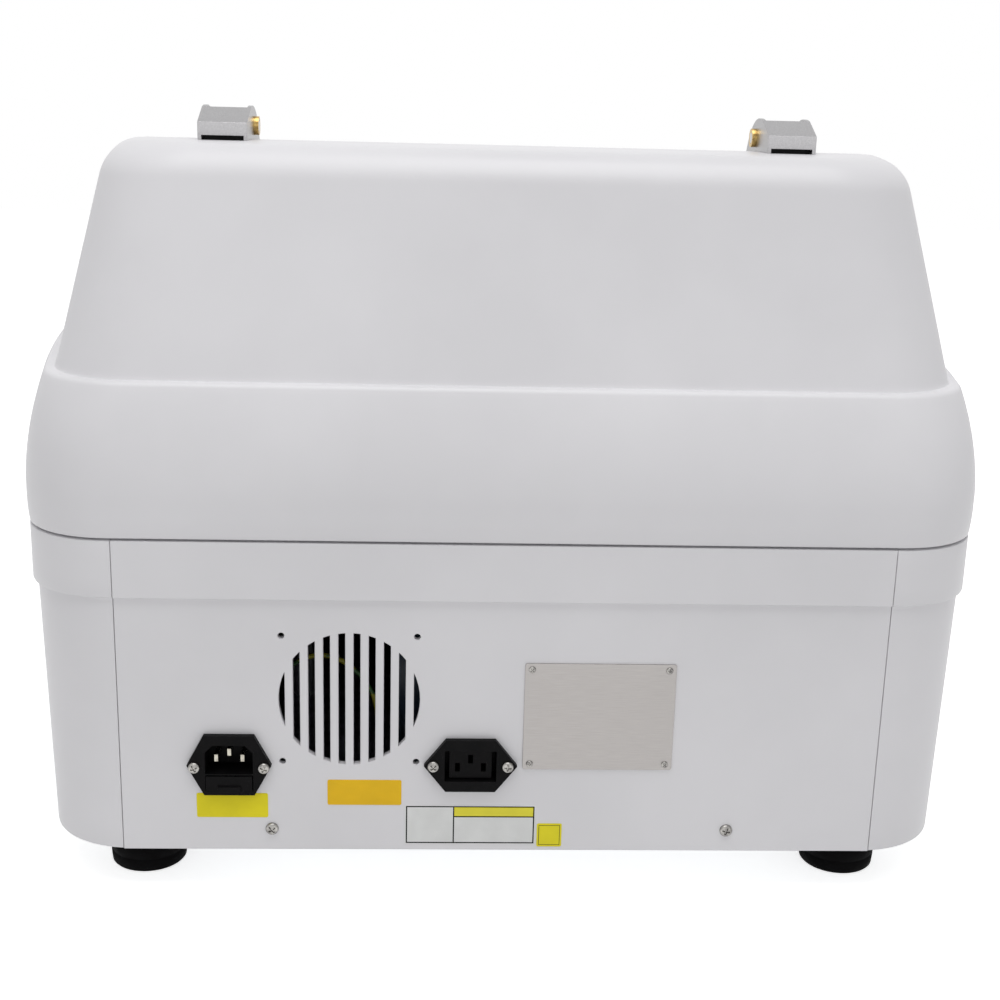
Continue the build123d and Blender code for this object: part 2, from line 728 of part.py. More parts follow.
# Console: display on one side, keypad on the other
display_side_margin = 34.0
display_length = 104.0
display_u = 98.0
bezel_height = 3.0
bezel_flange = 6.0
bezel_depth = 12.0
screen_side_margin = 26.0
screen_length = 76.0
screen_thickness = 1.6
keypad_shift = 4.0
keypad_side_margin = 26.0
keypad_length = 104.0
keypad_wall = 3.0
key_columns = 3
key_rows = 2
key_side_margin = 14.0
key_pitch_u = 44.0
key_radius = 14.0
key_height = 5.0
key_travel = 2.5
key_stem_radius = 6.0
key_depth = 9.0
key_round = 1.7
display_x = -lid_half / 2
display_width = lid_half - display_side_margin
screen_width = display_width - screen_side_margin
keypad_x = lid_half / 2 - keypad_shift
keypad_width = lid_half - keypad_side_margin
key_pitch_x = (keypad_width - key_side_margin) / key_columns
key_names = ("start_key", "stop_key", "clamp_key", "shape_key", "plus_key", "minus_key")


def key_places():
    places = {}
    for index, name in enumerate(key_names):
        column, row = index % key_columns, index // key_columns
        x = keypad_x + (column - (key_columns - 1) / 2) * key_pitch_x
        places[name] = (x, display_u + (row - (key_rows - 1) / 2) * key_pitch_u)
    return places


def console_cuts():
    through = (-wall - overrun, overrun)
    margin = 2 * (bezel_flange - seat_gap)
    screen = sloped_block(console_plane, centred(display_x, display_width - margin),
                          centred(display_u, display_length - margin), through)
    keys = sloped_block(console_plane, centred(keypad_x, keypad_width - margin),
                        centred(display_u, keypad_length - margin), through)
    return [screen, keys]


def console_plate(x, width, length, depth):
    """Face plate on the cover with a tray that hangs through the cut-out."""
    face = sloped_block(console_plane, centred(x, width), centred(display_u, length), (0, bezel_height))
    tray = sloped_block(console_plane, centred(x, width - 2 * bezel_flange),
                        centred(display_u, length - 2 * bezel_flange), (-depth, 0))
    return face + tray


def make_console():
    bezel = console_plate(display_x, display_width, display_length, bezel_depth)
    rebate_w = bezel_height - screen_thickness
    bezel = bezel - sloped_block(console_plane, centred(display_x, screen_width + 2 * seat_gap),
                                 centred(display_u, screen_length + 2 * seat_gap),
                                 (rebate_w, bezel_height + overrun))
    keep("display_bezel", bezel)
    keep("display_screen", sloped_block(console_plane, centred(display_x, screen_width),
                                        centred(display_u, screen_length), (rebate_w, bezel_height)))
    plate = console_plate(keypad_x, keypad_width, keypad_length, key_depth + key_travel + wall)
    rim = 2 * (bezel_flange + keypad_wall)
    plate = plate - sloped_block(console_plane, centred(keypad_x, keypad_width - rim),
                                 centred(display_u, keypad_length - rim),
                                 (-key_depth - key_travel - wall - overrun, -wall))
    for name, (x, u) in key_places().items():
        pocket_w = bezel_height - key_travel - sliding_gap
        pocket = (pocket_w, bezel_height + overrun)
        guide = (-wall - overrun, pocket_w + overrun)
        plate = plate - sloped_rod(console_plane, key_radius + sliding_gap, x, u, pocket)
        plate = plate - sloped_rod(console_plane, key_stem_radius + sliding_gap, x, u, guide)
        cap_w = (pocket_w + key_travel, pocket_w + key_travel + key_height)
        cap = sloped_rod(console_plane, key_radius, x, u, cap_w)
        cap = fillet(cap.edges().filter_by(GeomType.CIRCLE).group_by(Axis.Z)[-1], key_round)
        keep(name, cap + sloped_rod(console_plane, key_stem_radius, x, u, (-key_depth, cap_w[0])))
    keep("keypad_plate", plate)


def make_feet():
    feet = []
    for x in (-foot_half_spacing, foot_half_spacing):
        for y in (panel_y - foot_rear_setback, front_face_y + foot_front_setback):
            cone = Pos(x, y, foot_height / 2) * Cone(foot_radius - foot_taper, foot_radius, foot_height)
            feet.append(cone)
    keep("rubber_feet", cluster(feet))


# Base tray: folded steel sheet that carries everything
tray_sheet = 3.0
tray_flange_height = 34.0
tray_gap = 0.4


def make_tray():
    side_inset = bottom_side_inset + wall + tray_gap
    end_inset = lower_end_inset + wall + tray_gap
    tray = shell_between([(bottom_z, side_inset, end_inset, end_inset),
                          (bottom_z + tray_sheet, side_inset, end_inset, end_inset)])
    high = (bottom_z, bottom_z + tray_flange_height)
    rear_edge = panel_inner_y - tray_gap
    front_edge = front_face_y + lower_end_inset + wall + tray_gap
    rear_half = rear_seam_half - wall * 2
    front_half = front_seam_half - wall * 2
    tray = tray + block((-rear_half, rear_half), (rear_edge - tray_sheet, rear_edge), high)
    tray = tray + block((-front_half, front_half), (front_edge, front_edge + tray_sheet), high)
    through = (rear_edge - tray_sheet - overrun, rear_edge + overrun)
    for side in (-1, 1):
        tray = tray - rod_y(panel_thread_radius + seat_gap, through, side * panel_screw_half,
                            bottom_z + panel_screw_rise)
    drain_hole = rod_z(drain_shoulder_radius + seat_gap,
                       (bottom_z - overrun, bottom_z + tray_sheet + overrun), drain_x, drain_y)
    keep("base_tray", tray - drain_hole)


# Grinding chamber under the opening
chamber_ledge = 4.0
chamber_low_z = 92.0
chamber_wall = 3.0
chamber_rim = 10.0
chamber_drop = 0.5
chamber_notch_margin = 8.0
chamber_notch_z = 222.0
chamber_notch_top_z = 340.0
tub_leg_margin = 23.0
tub_leg_inset = 17.0
tub_leg_radius = 7.0
drain_x = 40.0
drain_radius = 14.0
drain_wall = 2.5
drain_flange_radius = 22.0
drain_flange = 3.0
drain_end_z = 5.0
drain_free_length = 20.0
drain_shoulder_radius = 16.0
chamber_half = chamber_opening_half + chamber_ledge
chamber_front_y, chamber_rear_y = [share * overall_depth for share in chamber_shares]
chamber_notch_half = chamber_half - chamber_notch_margin
tub_leg_half = chamber_half - tub_leg_margin
drain_y = drain_share * overall_depth

# Spindle, wheels, motor and belt
spindle_z = 176.0
spindle_radius = 10.0
wheel_radius = 50.0
wheel_gap = 2.0
wheel_widths = {"roughing_wheel": 20.0, "finishing_wheel": 22.0, "polishing_wheel": 18.0}
groove_depth = 1.6
groove_width = 4.0
hub_radius = 20.0
end_spacer_width = 8.0
bearing_gap = 3.0
bearing_width = 22.0
bearing_half = 30.0
pulley_gap = 4.0
pulley_width = 16.0
spindle_pulley_radius = 26.0
motor_pulley_radius = 36.0
pulley_rim = 2.0
pulley_rim_width = 1.6
belt_width = 11.0
belt_thickness = 3.0
belt_gap = 0.3
motor_setback = 91.5
motor_z = 102.0
motor_radius = 56.0
motor_length = 180.0
motor_pulley_gap = 57.0
motor_shaft_radius = 9.0
motor_bell_length = 22.0
motor_bell_inset = 6.0
motor_foot_half = 46.0
motor_foot_inset = 26.0
motor_foot_length = 28.0
spindle_y = spindle_share * overall_depth
bearing_start = chamber_half + bearing_gap
pulley_start = bearing_start + bearing_width + pulley_gap
motor_x = (-pulley_start + motor_pulley_gap, -pulley_start + motor_pulley_gap + motor_length)
motor_y = panel_inner_y - motor_setback

# Carriage: a rail, a sliding sleeve and a swinging head with two arms
rail_z = 262.0
rail_radius = 9.0
rail_end = 1.0
support_gap = 7.0
support_width = 13.0
support_half = 24.0
sleeve_radius = 17.0
sleeve_margin = 50.0
sleeve_collar = 4.0
sleeve_collar_radius = 21.0
head_boss_radius = 27.0
head_boss_rise = 4.0
head_boss_reach = 28.0
beam_z = (250.0, 290.0)
head_arm_half_height = 17.0
head_arm_reach = 22.0
head_arm_width = 20.0
lens_z = 273.0
head_end_radius = 21.0
shaft_radius = 8.0
shaft_outer_margin = 30.0
shaft_cap_radius = 15.0
shaft_cap_width = 10.0
lens_radius = 35.0
lens_thickness = 3.0
lens_curve_radius = 130.0
cup_radius = 11.0
cup_length = 12.0
quill_radius = 13.0
quill_length = 40.0
quill_reach = 10.0
pad_radius = 10.5
pad_length = 7.0
rail_y = rail_share * overall_depth
lens_y = lens_share * overall_depth
beam_y = [share * overall_depth for share in beam_shares]
support_start = pulley_start + pulley_width + support_gap
rail_half = support_start + support_width + rail_end
sleeve_half = chamber_half - sleeve_margin
head_boss_start = sleeve_half - head_boss_reach
head_arm_start = sleeve_half - head_arm_reach
shaft_outer_x = chamber_half - shaft_outer_margin
quill_end_x = head_arm_start - quill_reach


def make_chamber():
    slope = math.radians(lid_slope)
    seat_w = -lid_height - seat_gap - gasket_height
    low_w = seat_w - chamber_wall

    def under_slope(y, w):
        return top_height(y) + w / math.cos(slope)

    outer = side_slab([(chamber_front_y, chamber_low_z), (chamber_rear_y, chamber_low_z),
                       (chamber_rear_y, under_slope(chamber_rear_y, seat_w)),
                       (chamber_front_y, under_slope(chamber_front_y, seat_w))],
                      (-chamber_half, chamber_half))
    rim_u = (lid_well_u()[0] - chamber_rim, lid_well_u()[1] + chamber_rim)
    rim_half = lid_half + lid_edge_gap + chamber_rim
    rim = rounded_slab(lid_plane, rim_half, rim_u, (low_w, -wall - chamber_drop),
                       lid_corner_radius + chamber_rim)
    well = rounded_slab(lid_plane, lid_half + lid_edge_gap, lid_well_u(), (seat_w, overrun),
                        lid_corner_radius + lid_edge_gap)
    mouth = sloped_block(lid_plane, (-chamber_opening_half, chamber_opening_half),
                         (chamber_opening_start_u, chamber_opening_end_u), (low_w - overrun, overrun))
    front_y, rear_y = chamber_front_y + chamber_wall, chamber_rear_y - chamber_wall
    floor_z = chamber_low_z + chamber_wall
    inner = side_slab([(front_y, floor_z), (rear_y, floor_z), (rear_y, under_slope(rear_y, low_w)),
                       (front_y, under_slope(front_y, low_w))],
                      (-chamber_half + chamber_wall, chamber_half - chamber_wall))
    notch = block((-chamber_notch_half, chamber_notch_half), (rear_y - overrun, chamber_rear_y + overrun),
                  (chamber_notch_z, chamber_notch_top_z))
    tub = outer + rim - well - mouth - inner - notch
    across = (-overall_width / 2, overall_width / 2)
    drain_bore = drain_radius - drain_wall
    tub = tub - rod_x(spindle_radius + sliding_gap, across, spindle_y, spindle_z)
    tub = tub - rod_z(drain_bore, (chamber_low_z - overrun, floor_z + overrun), drain_x, drain_y)
    tub = tub - rod_x(nozzle_radius + seat_gap, centred(-chamber_half, 2 * overrun), nozzle_y, nozzle_z)
    for x in (-tub_leg_half, tub_leg_half):
        for y in (chamber_front_y + tub_leg_inset, chamber_rear_y - tub_leg_inset):
            tub = tub + rod_z(tub_leg_radius, (bottom_z + tray_sheet, chamber_low_z), x, y)
    keep("chamber_tub", tub)
    shoulder_z = drain_end_z + drain_free_length
    pipe = (rod_z(drain_radius, (drain_end_z, shoulder_z), drain_x, drain_y)
            + rod_z(drain_shoulder_radius, (shoulder_z, chamber_low_z), drain_x, drain_y)
            + rod_z(drain_flange_radius, (chamber_low_z - drain_flange, chamber_low_z), drain_x, drain_y)
            - rod_z(drain_bore, (drain_end_z - overrun, chamber_low_z + overrun), drain_x, drain_y))
    keep("drain_spigot", pipe)


nozzle_radius = 4.0
nozzle_bore = 2.6
nozzle_y = nozzle_share * overall_depth
nozzle_z = 262.0
nozzle_reach = 78.0
nozzle_flange_radius = 9.0
nozzle_flange = 3.0
nozzle_tail = 12.0
nozzle_bend = 12.0
nozzle_tip_drop = 20.0
nozzle_tip_inward = 14.0


def make_nozzle():
    """Water pipe that enters through the chamber wall and points down at the wheels."""
    start = Vector(-chamber_half - nozzle_tail, nozzle_y, nozzle_z)
    corner = Vector(-chamber_half + nozzle_reach, nozzle_y, nozzle_z)
    tip = corner + Vector(nozzle_tip_inward, 0, -nozzle_tip_drop)
    path = Wire(FilletPolyline(start, corner, tip, radius=nozzle_bend).edges())
    across = Plane(origin=start, z_dir=(1, 0, 0))
    tube = sweep(across * Circle(nozzle_radius), path=path)
    bore = sweep(across * Circle(nozzle_bore), path=path)
    flange_x = (-chamber_half + chamber_wall, -chamber_half + chamber_wall + nozzle_flange)
    collar = rod_x(nozzle_flange_radius, flange_x, nozzle_y, nozzle_z)
    keep("water_nozzle", tube + collar - bore)


def wheel_limits():
    """X limits of each wheel, with the finishing wheel in the middle."""
    total = sum(wheel_widths.values()) + wheel_gap * (len(wheel_widths) - 1)
    start = -total / 2
    limits = {}
    for name, width in wheel_widths.items():
        limits[name] = (start, start + width)
        start += width + wheel_gap
    return limits


def make_spindle():
    bore = spindle_radius + running_gap
    limits = wheel_limits()
    edges = [value for pair in limits.values() for value in pair]
    for name, x in limits.items():
        wheel = rod_x(wheel_radius, x, spindle_y, spindle_z) - rod_x(bore, x, spindle_y, spindle_z)
        if name == "finishing_wheel":
            middle = sum(x) / 2
            profile = Polyline((middle - groove_width / 2, spindle_y, spindle_z + wheel_radius),
                               (middle, spindle_y, spindle_z + wheel_radius - groove_depth),
                               (middle + groove_width / 2, spindle_y, spindle_z + wheel_radius), close=True)
            groove = revolve(Face(Wire(profile.edges())), Axis((0, spindle_y, spindle_z), (1, 0, 0)))
            wheel = wheel - groove
        keep(name, wheel)
    spacers = []
    for start, end in zip(edges[1::2], edges[2::2]):
        spacers.append((start, end))
    spacers.append((edges[-1], edges[-1] + end_spacer_width))
    spacers.append((edges[0] - end_spacer_width, edges[0]))
    keep("wheel_spacers", cluster([rod_x(hub_radius, x, spindle_y, spindle_z)
                                   - rod_x(bore, x, spindle_y, spindle_z) for x in spacers]))
    far_end = pulley_start + pulley_width + pulley_rim
    near_end = bearing_start + bearing_width + pulley_rim
    keep("spindle_shaft", rod_x(spindle_radius, (-far_end, near_end), spindle_y, spindle_z))
    pulley_x = (-pulley_start - pulley_width, -pulley_start)
    keep("spindle_pulley", pulley(spindle_pulley_radius, pulley_x, spindle_y, spindle_z)
         - rod_x(bore, pulley_x, spindle_y, spindle_z))
    blocks = []
    floor = bottom_z + tray_sheet
    for side in (-1, 1):
        x = sorted((side * bearing_start, side * (bearing_start + bearing_width)))
        stand = (block(x, centred(spindle_y, 2 * bearing_half), (floor, spindle_z))
                 + rod_x(bearing_half, x, spindle_y, spindle_z))
        blocks.append(stand - rod_x(bore, x, spindle_y, spindle_z))
    keep("spindle_bearings", cluster(blocks))


def pulley(radius, x, y, z):
    """Flat belt pulley with a rim at each side."""
    rims = [(x[0], x[0] + pulley_rim_width), (x[1] - pulley_rim_width, x[1])]
    shape = rod_x(radius, x, y, z)
    for rim in rims:
        shape = shape + rod_x(radius + pulley_rim, rim, y, z)
    return shape


def belt_slab(extra, x):
    """Closed belt outline, grown by an extra, round the two pulleys."""
    run_y, run_z = motor_y - spindle_y, motor_z - spindle_z
    length = math.hypot(run_y, run_z)
    big, small = motor_pulley_radius + extra, spindle_pulley_radius + extra
    heading = math.atan2(run_z, run_y)
    lean = math.acos((small - big) / length)
    sides = []
    for turn in (lean, -lean):
        ny, nz = math.cos(heading + turn), math.sin(heading + turn)
        sides.append([(spindle_y + small * ny, spindle_z + small * nz),
                      (motor_y + big * ny, motor_z + big * nz)])
    points = [sides[0][0], sides[0][1], sides[1][1], sides[1][0]]
    return (side_slab(points, x) + rod_x(small, x, spindle_y, spindle_z) + rod_x(big, x, motor_y, motor_z))


def make_motor():
    floor = bottom_z + tray_sheet
    bell_radius = motor_radius - motor_bell_inset
    bell_x = (motor_x[0] + motor_bell_length, motor_x[1] - motor_bell_length)
    body = rod_x(motor_radius, bell_x, motor_y, motor_z)
    body = body + rod_x(bell_radius, motor_x, motor_y, motor_z)
    for end in (motor_x[0] + motor_foot_inset, motor_x[1] - motor_foot_inset - motor_foot_length):
        body = body + block((end, end + motor_foot_length), centred(motor_y, 2 * motor_foot_half),
                            (floor, motor_z - bell_radius / 2))
    shaft_x = (-pulley_start - pulley_width, bell_x[0])
    body = body - rod_x(motor_shaft_radius + running_gap, shaft_x, motor_y, motor_z)
    keep("motor_body", body)
    pulley_x = (-pulley_start - pulley_width, -pulley_start)
    keep("motor_pulley", pulley(motor_pulley_radius, pulley_x, motor_y, motor_z)
         + rod_x(motor_shaft_radius, (pulley_x[0], bell_x[0] - seat_gap), motor_y, motor_z))
    belt_x = centred(-pulley_start - pulley_width / 2, belt_width)
    keep("drive_belt", belt_slab(belt_gap + belt_thickness, belt_x) - belt_slab(belt_gap, belt_x))


def make_carriage():
    floor = bottom_z + tray_sheet
    supports = []
    for side in (-1, 1):
        x = sorted((side * support_start, side * (support_start + support_width)))
        stand = (block(x, centred(rail_y, 2 * support_half), (floor, rail_z))
                 + rod_x(support_half, x, rail_y, rail_z))
        supports.append(stand - rod_x(rail_radius + running_gap, x, rail_y, rail_z))
    keep("rail_supports", cluster(supports))
    rail_x = (-rail_half, rail_half)
    keep("carriage_rail", rod_x(rail_radius, rail_x, rail_y, rail_z))
    sleeve_x = (-sleeve_half, sleeve_half)
    sleeve = rod_x(sleeve_radius, sleeve_x, rail_y, rail_z)
    for side in (-1, 1):
        collar = sorted((side * sleeve_half, side * (sleeve_half - sleeve_collar)))
        sleeve = sleeve + rod_x(sleeve_collar_radius, collar, rail_y, rail_z)
    keep("carriage_sleeve", sleeve - rod_x(rail_radius + running_gap, rail_x, rail_y, rail_z))
    keep("swing_head", head_casting())


def head_casting():
    """Two bosses on the sleeve, a beam in front of them and two arms that carry the lens shafts."""
    boss_end = sleeve_half - sleeve_collar - sliding_gap
    head = block((-boss_end, boss_end), beam_y, beam_z)
    for side in (-1, 1):
        boss_x = sorted((side * head_boss_start, side * boss_end))
        arm_x = sorted((side * head_arm_start, side * (head_arm_start + head_arm_width)))
        head = head + rod_x(head_boss_radius, boss_x, rail_y, rail_z)
        head = head + block(boss_x, (beam_y[0], rail_y),
                            centred(rail_z + head_boss_rise, 2 * head_arm_half_height))
        head = head + block(arm_x, (lens_y, beam_y[1]), centred(lens_z, 2 * head_arm_half_height))
        head = head + rod_x(head_end_radius, arm_x, lens_y, lens_z)
        head = head - rod_x(sleeve_radius + running_gap, boss_x, rail_y, rail_z)
    left_x = (-head_arm_start - head_arm_width, -head_arm_start)
    right_x = (head_arm_start, head_arm_start + head_arm_width)
    head = head - rod_x(shaft_radius + running_gap, left_x, lens_y, lens_z)
    return head - rod_x(quill_radius + running_gap, right_x, lens_y, lens_z)


def lens_sag(radius):
    """How far a lens face has curved away at one distance from its centre."""
    return lens_curve_radius - math.sqrt(lens_curve_radius**2 - radius**2)


def make_lens():
    def spot(side, radius):
        return side * lens_thickness / 2 + lens_sag(radius), lens_y, lens_z + radius

    faces = [ThreePointArc(spot(side, 0), spot(side, lens_radius / 2), spot(side, lens_radius))
             for side in (-1, 1)]
    edges = [faces[0], Line(spot(-1, lens_radius), spot(1, lens_radius)), faces[1],
             Line(spot(1, 0), spot(-1, 0))]
    profile = Face(Wire([edge for item in edges for edge in item.edges()]))
    return revolve(profile, Axis((0, lens_y, lens_z), (1, 0, 0)))


def make_lens_shafts():
    half = lens_thickness / 2
    cup_x = (-half - seat_gap - cup_length, -half - seat_gap)
    shaft = rod_x(shaft_radius, (-shaft_outer_x, cup_x[0]), lens_y, lens_z)
    cap_end = -head_arm_start - head_arm_width - seat_gap
    shaft = shaft + rod_x(shaft_cap_radius, (cap_end - shaft_cap_width, cap_end), lens_y, lens_z)
    keep("lens_shaft", shaft)
    keep("lens_cup", rod_x(cup_radius, cup_x, lens_y, lens_z))
    keep("lens_blank", make_lens())
    pad_start = half + lens_sag(pad_radius) + seat_gap
    pad_x = (pad_start, pad_start + pad_length)
    quill_x = (quill_end_x, quill_end_x + quill_length)
    bore = shaft_radius + running_gap
    keep("clamp_quill", rod_x(quill_radius, quill_x, lens_y, lens_z) - rod_x(bore, quill_x, lens_y, lens_z))
    keep("clamp_shaft", rod_x(shaft_radius, (pad_x[1], quill_x[1]), lens_y, lens_z))
    keep("clamp_pad", rod_x(pad_radius, pad_x, lens_y, lens_z))


# Electrics inside the casing
transformer_x = (95.0, 175.0)
transformer_front_gap = 75.0
transformer_length = 90.0
transformer_height = 72.0
coil_inset = 16.0
coil_height = 46.0
board_x = (-190.0, 60.0)
board_front_gap = 53.0
board_length = 122.0
board_thickness = 1.6
board_post_height = 10.0
board_post_radius = 4.0
board_post_inset = 8.0
chip_share = 0.18
chip_heights = (14.0, 22.0, 9.0)
wire_radius = 1.3
wire_share = 0.45
# From the middle of the inlet's face: across, inwards and up
wire_route = [(0.0, -30.8, 6.9), (0.0, -43.0, 8.3), (-16.3, -40.5, 34.3), (-48.3, -39.0, 53.3),
              (-76.3, -32.0, 34.3), (-80.3, -25.0, -5.7), (-80.3, -25.0, -47.4)]
transformer_y = (front_face_y + transformer_front_gap,
                 front_face_y + transformer_front_gap + transformer_length)
board_y = (front_face_y + board_front_gap, front_face_y + board_front_gap + board_length)


def make_electrics():
    floor = bottom_z + tray_sheet
    core = block(transformer_x, transformer_y, (floor, floor + transformer_height))
    middle = (transformer_y[0] + transformer_y[1]) / 2
    inset_x = (transformer_x[0] - coil_inset, transformer_x[1] + coil_inset)
    coil = block(inset_x, centred(middle, transformer_y[1] - transformer_y[0] - 2 * coil_inset),
                 centred(floor + transformer_height / 2, coil_height))
    keep("transformer", core + coil)
    board_low = floor + board_post_height
    board = block(board_x, board_y, (board_low, board_low + board_thickness))
    width = board_x[1] - board_x[0]
    for index, height in enumerate(chip_heights):
        left = board_x[0] + width * (index + chip_share) / len(chip_heights)
        chip_x = (left, left + width * chip_share)
        board = board + block(chip_x, centred(sum(board_y) / 2, width * chip_share),
                              (board_low + board_thickness, board_low + board_thickness + height))
    for x in (board_x[0] + board_post_inset, board_x[1] - board_post_inset):
        for y in (board_y[0] + board_post_inset, board_y[1] - board_post_inset):
            board = board + rod_z(board_post_radius, (floor, board_low), x, y)
    keep("control_board", board)


def make_earth_wire():
    """Yellow and green wire from the inlet's earth pin to the tray, behind the grille."""
    points = [Vector(inlet_x + x, flange_y + y, inlet_z + z) for x, y, z in wire_route]
    radii = []
    for before, here, after in zip(points, points[1:], points[2:]):
        first, second = here - before, after - here
        turn = math.radians(first.get_angle(second))
        radii.append(wire_share * min(first.length, second.length) / math.tan(turn / 2))
    print("earth wire bend radii", [round(radius, 1) for radius in radii])
    path = FilletPolyline(*points, radius=radii)
    ring = Plane(origin=points[0], z_dir=points[1] - points[0]) * Circle(wire_radius)
    keep("earth_wire", sweep(ring, path=Wire(path.edges())))


# Power switch on the front panel
switch_seam_gap = 52.0
switch_rise = 92.0
switch_width = 30.0
switch_height = 22.0
switch_flange = 1.2
switch_border = 3.0
switch_depth = 20.0
rocker_width = 20.0
rocker_height = 12.0
rocker_depth = 9.0
rocker_tilt = 5.0
rocker_stand_out = 0.2
rocker_side_gap = 1.0
rocker_foot = 6.0
switch_x = -front_seam_half + switch_seam_gap


def make_switch():
    face_y = front_face_y + lower_end_inset
    z = bottom_z + switch_rise
    frame = (block(centred(switch_x, switch_width), (face_y - switch_flange, face_y),
                   centred(z, switch_height))
             + block(centred(switch_x, switch_width - 2 * switch_border), (face_y, face_y + switch_depth),
                     centred(z, switch_height - 2 * switch_border)))
    well = block(centred(switch_x, rocker_width + 2 * sliding_gap),
                 (face_y - switch_flange - overrun, face_y + rocker_depth + switch_border),
                 centred(z, rocker_height + 2 * sliding_gap))
    keep("switch_frame", frame - well)
    pivot_y = face_y + rocker_depth / 2
    front = face_y - switch_flange - rocker_stand_out
    half = rocker_height / 2 - rocker_side_gap
    dish = math.tan(math.radians(rocker_tilt)) * half
    foot = rocker_foot / 2
    points = [(face_y + rocker_depth, z - foot), (face_y + rocker_depth, z + foot), (face_y, z + half),
              (front - dish, z + half), (front, z), (front - dish, z - half), (face_y, z - half)]
    shape = side_slab(points, centred(switch_x, rocker_width))
    keep("switch_rocker", shape.rotate(Axis((0, pivot_y, z), (1, 0, 0)), rocker_tilt))


def cut_front_panel(panel):
    z = bottom_z + switch_rise
    return panel - block(centred(switch_x, switch_width - 2 * switch_border + 2 * seat_gap),
                         (front_face_y - overrun, front_face_y + wall + lower_end_inset + overrun),
                         centred(z, switch_height - 2 * switch_border + 2 * seat_gap))


def make_all():
    rear_panel, front_panel, left, right = lower_shells()
    keep("rear_panel", cut_rear_panel(rear_panel))
    keep("front_panel", cut_front_panel(front_panel))
    keep("left_side_shell", left)
    keep("right_side_shell", right)
    make_upper_cover()
    make_inlet()
    make_outlet()
    make_rear_fittings()
    make_chamber_cover()
    make_console()
    make_feet()
    make_tray()
    make_chamber()
    make_nozzle()
    make_spindle()
    make_motor()
    make_carriage()
    make_lens_shafts()
    make_electrics()
    make_earth_wire()
    make_switch()


make_all()
os.makedirs("parts", exist_ok=True)
for name, shape in parts.items():
    export_step(shape, "parts/" + name + ".step")
print(len(parts), "sub-parts written")
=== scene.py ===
# %% [markdown]
# # A bench-top lens grinding machine, dressed for the camera
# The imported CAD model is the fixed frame. It already has every part in its right place, so this
# lesson only makes the surfaces better than the CAD ones and gives each its finish.
# The first cell loads that frame and keeps its box, because nothing may grow past it.

# %% Load the frame
import json
import math

import bmesh
import bpy
import numpy as np
from mathutils import Matrix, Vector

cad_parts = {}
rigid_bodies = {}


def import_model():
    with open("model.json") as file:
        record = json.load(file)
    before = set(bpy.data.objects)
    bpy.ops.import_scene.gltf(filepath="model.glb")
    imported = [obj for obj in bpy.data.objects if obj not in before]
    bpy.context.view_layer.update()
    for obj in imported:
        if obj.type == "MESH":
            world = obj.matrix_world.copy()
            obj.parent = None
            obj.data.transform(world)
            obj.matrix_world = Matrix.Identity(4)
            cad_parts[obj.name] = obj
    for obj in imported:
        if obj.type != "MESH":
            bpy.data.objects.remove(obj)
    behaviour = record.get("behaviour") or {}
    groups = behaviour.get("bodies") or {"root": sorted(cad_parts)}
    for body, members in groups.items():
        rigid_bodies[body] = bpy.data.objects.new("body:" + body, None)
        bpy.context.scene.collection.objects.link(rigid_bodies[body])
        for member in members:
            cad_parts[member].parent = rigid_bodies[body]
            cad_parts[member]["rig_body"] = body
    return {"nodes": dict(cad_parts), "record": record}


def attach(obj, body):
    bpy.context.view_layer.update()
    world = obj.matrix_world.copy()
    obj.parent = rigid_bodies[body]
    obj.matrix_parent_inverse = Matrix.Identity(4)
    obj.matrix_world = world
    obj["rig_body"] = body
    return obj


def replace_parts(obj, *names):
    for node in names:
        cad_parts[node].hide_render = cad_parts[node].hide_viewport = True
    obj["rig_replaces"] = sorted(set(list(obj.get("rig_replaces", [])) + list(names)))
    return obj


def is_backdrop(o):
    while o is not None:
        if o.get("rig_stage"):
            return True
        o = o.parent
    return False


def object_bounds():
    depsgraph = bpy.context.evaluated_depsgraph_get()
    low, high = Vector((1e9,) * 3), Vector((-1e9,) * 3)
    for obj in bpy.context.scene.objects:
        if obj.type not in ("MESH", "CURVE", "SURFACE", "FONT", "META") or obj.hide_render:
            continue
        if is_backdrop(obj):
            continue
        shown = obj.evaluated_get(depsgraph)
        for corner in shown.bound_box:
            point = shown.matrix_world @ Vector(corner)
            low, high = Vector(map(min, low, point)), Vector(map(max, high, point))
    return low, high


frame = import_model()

for name in ("Cube", "Light", "Camera"):
    if name in bpy.data.objects:
        bpy.data.objects.remove(bpy.data.objects[name])
cad_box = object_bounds()
node_body = {name: node["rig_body"] for name, node in frame["nodes"].items()}
node_slot = {row["node"]: row["material_slot"] for row in frame["record"]["subparts"]}

# %% [markdown]
# ## Sizes
# The casing is drawn by a few levels and by how far each level is moved in from the widest
# outline. They are in millimetres here, as on a drawing, and become metres when a mesh is made.
# The same letters are used all through: x across, y to the rear, z up. On the sloped faces u runs
# down the slope from its upper edge, and w stands square out of it. Where insets come in pairs,
# the first is that of the sides and the second that of the ends.

# %% Sizes of the casing
MM = 0.001
REAR_Y, FRONT_Y, WIDEST_Y = 312.1, -315.0, -60.0
REAR_ROUND, FRONT_ROUND = 48.0, 85.0
HALF_WIDTH, REAR_HALF, WALL = 290.0, 246.5, 4.0
DROP, RUN = HALF_WIDTH - REAR_HALF, REAR_Y - WIDEST_Y
SIDE_RADIUS = (DROP**2 + RUN**2) / (2 * DROP)
CIRCLE_X = HALF_WIDTH - SIDE_RADIUS
BOTTOM_Z, LEDGE_Z, PARTING_Z, BAND_Z = 27.0, 171.0, 202.0, 203.6
BULGE_Z, SHOULDER_Z, TOP_Z = 225.6, 281.6, 399.0
PANEL_Y, FLANGE_Y = 309.5, 313.0
COVER_EDGE_Z, REAR_SEAM, FRONT_SEAM = 203.1, 204.6, 172.3
CREST_Y, KNEE_Y = 171.99, -103.005
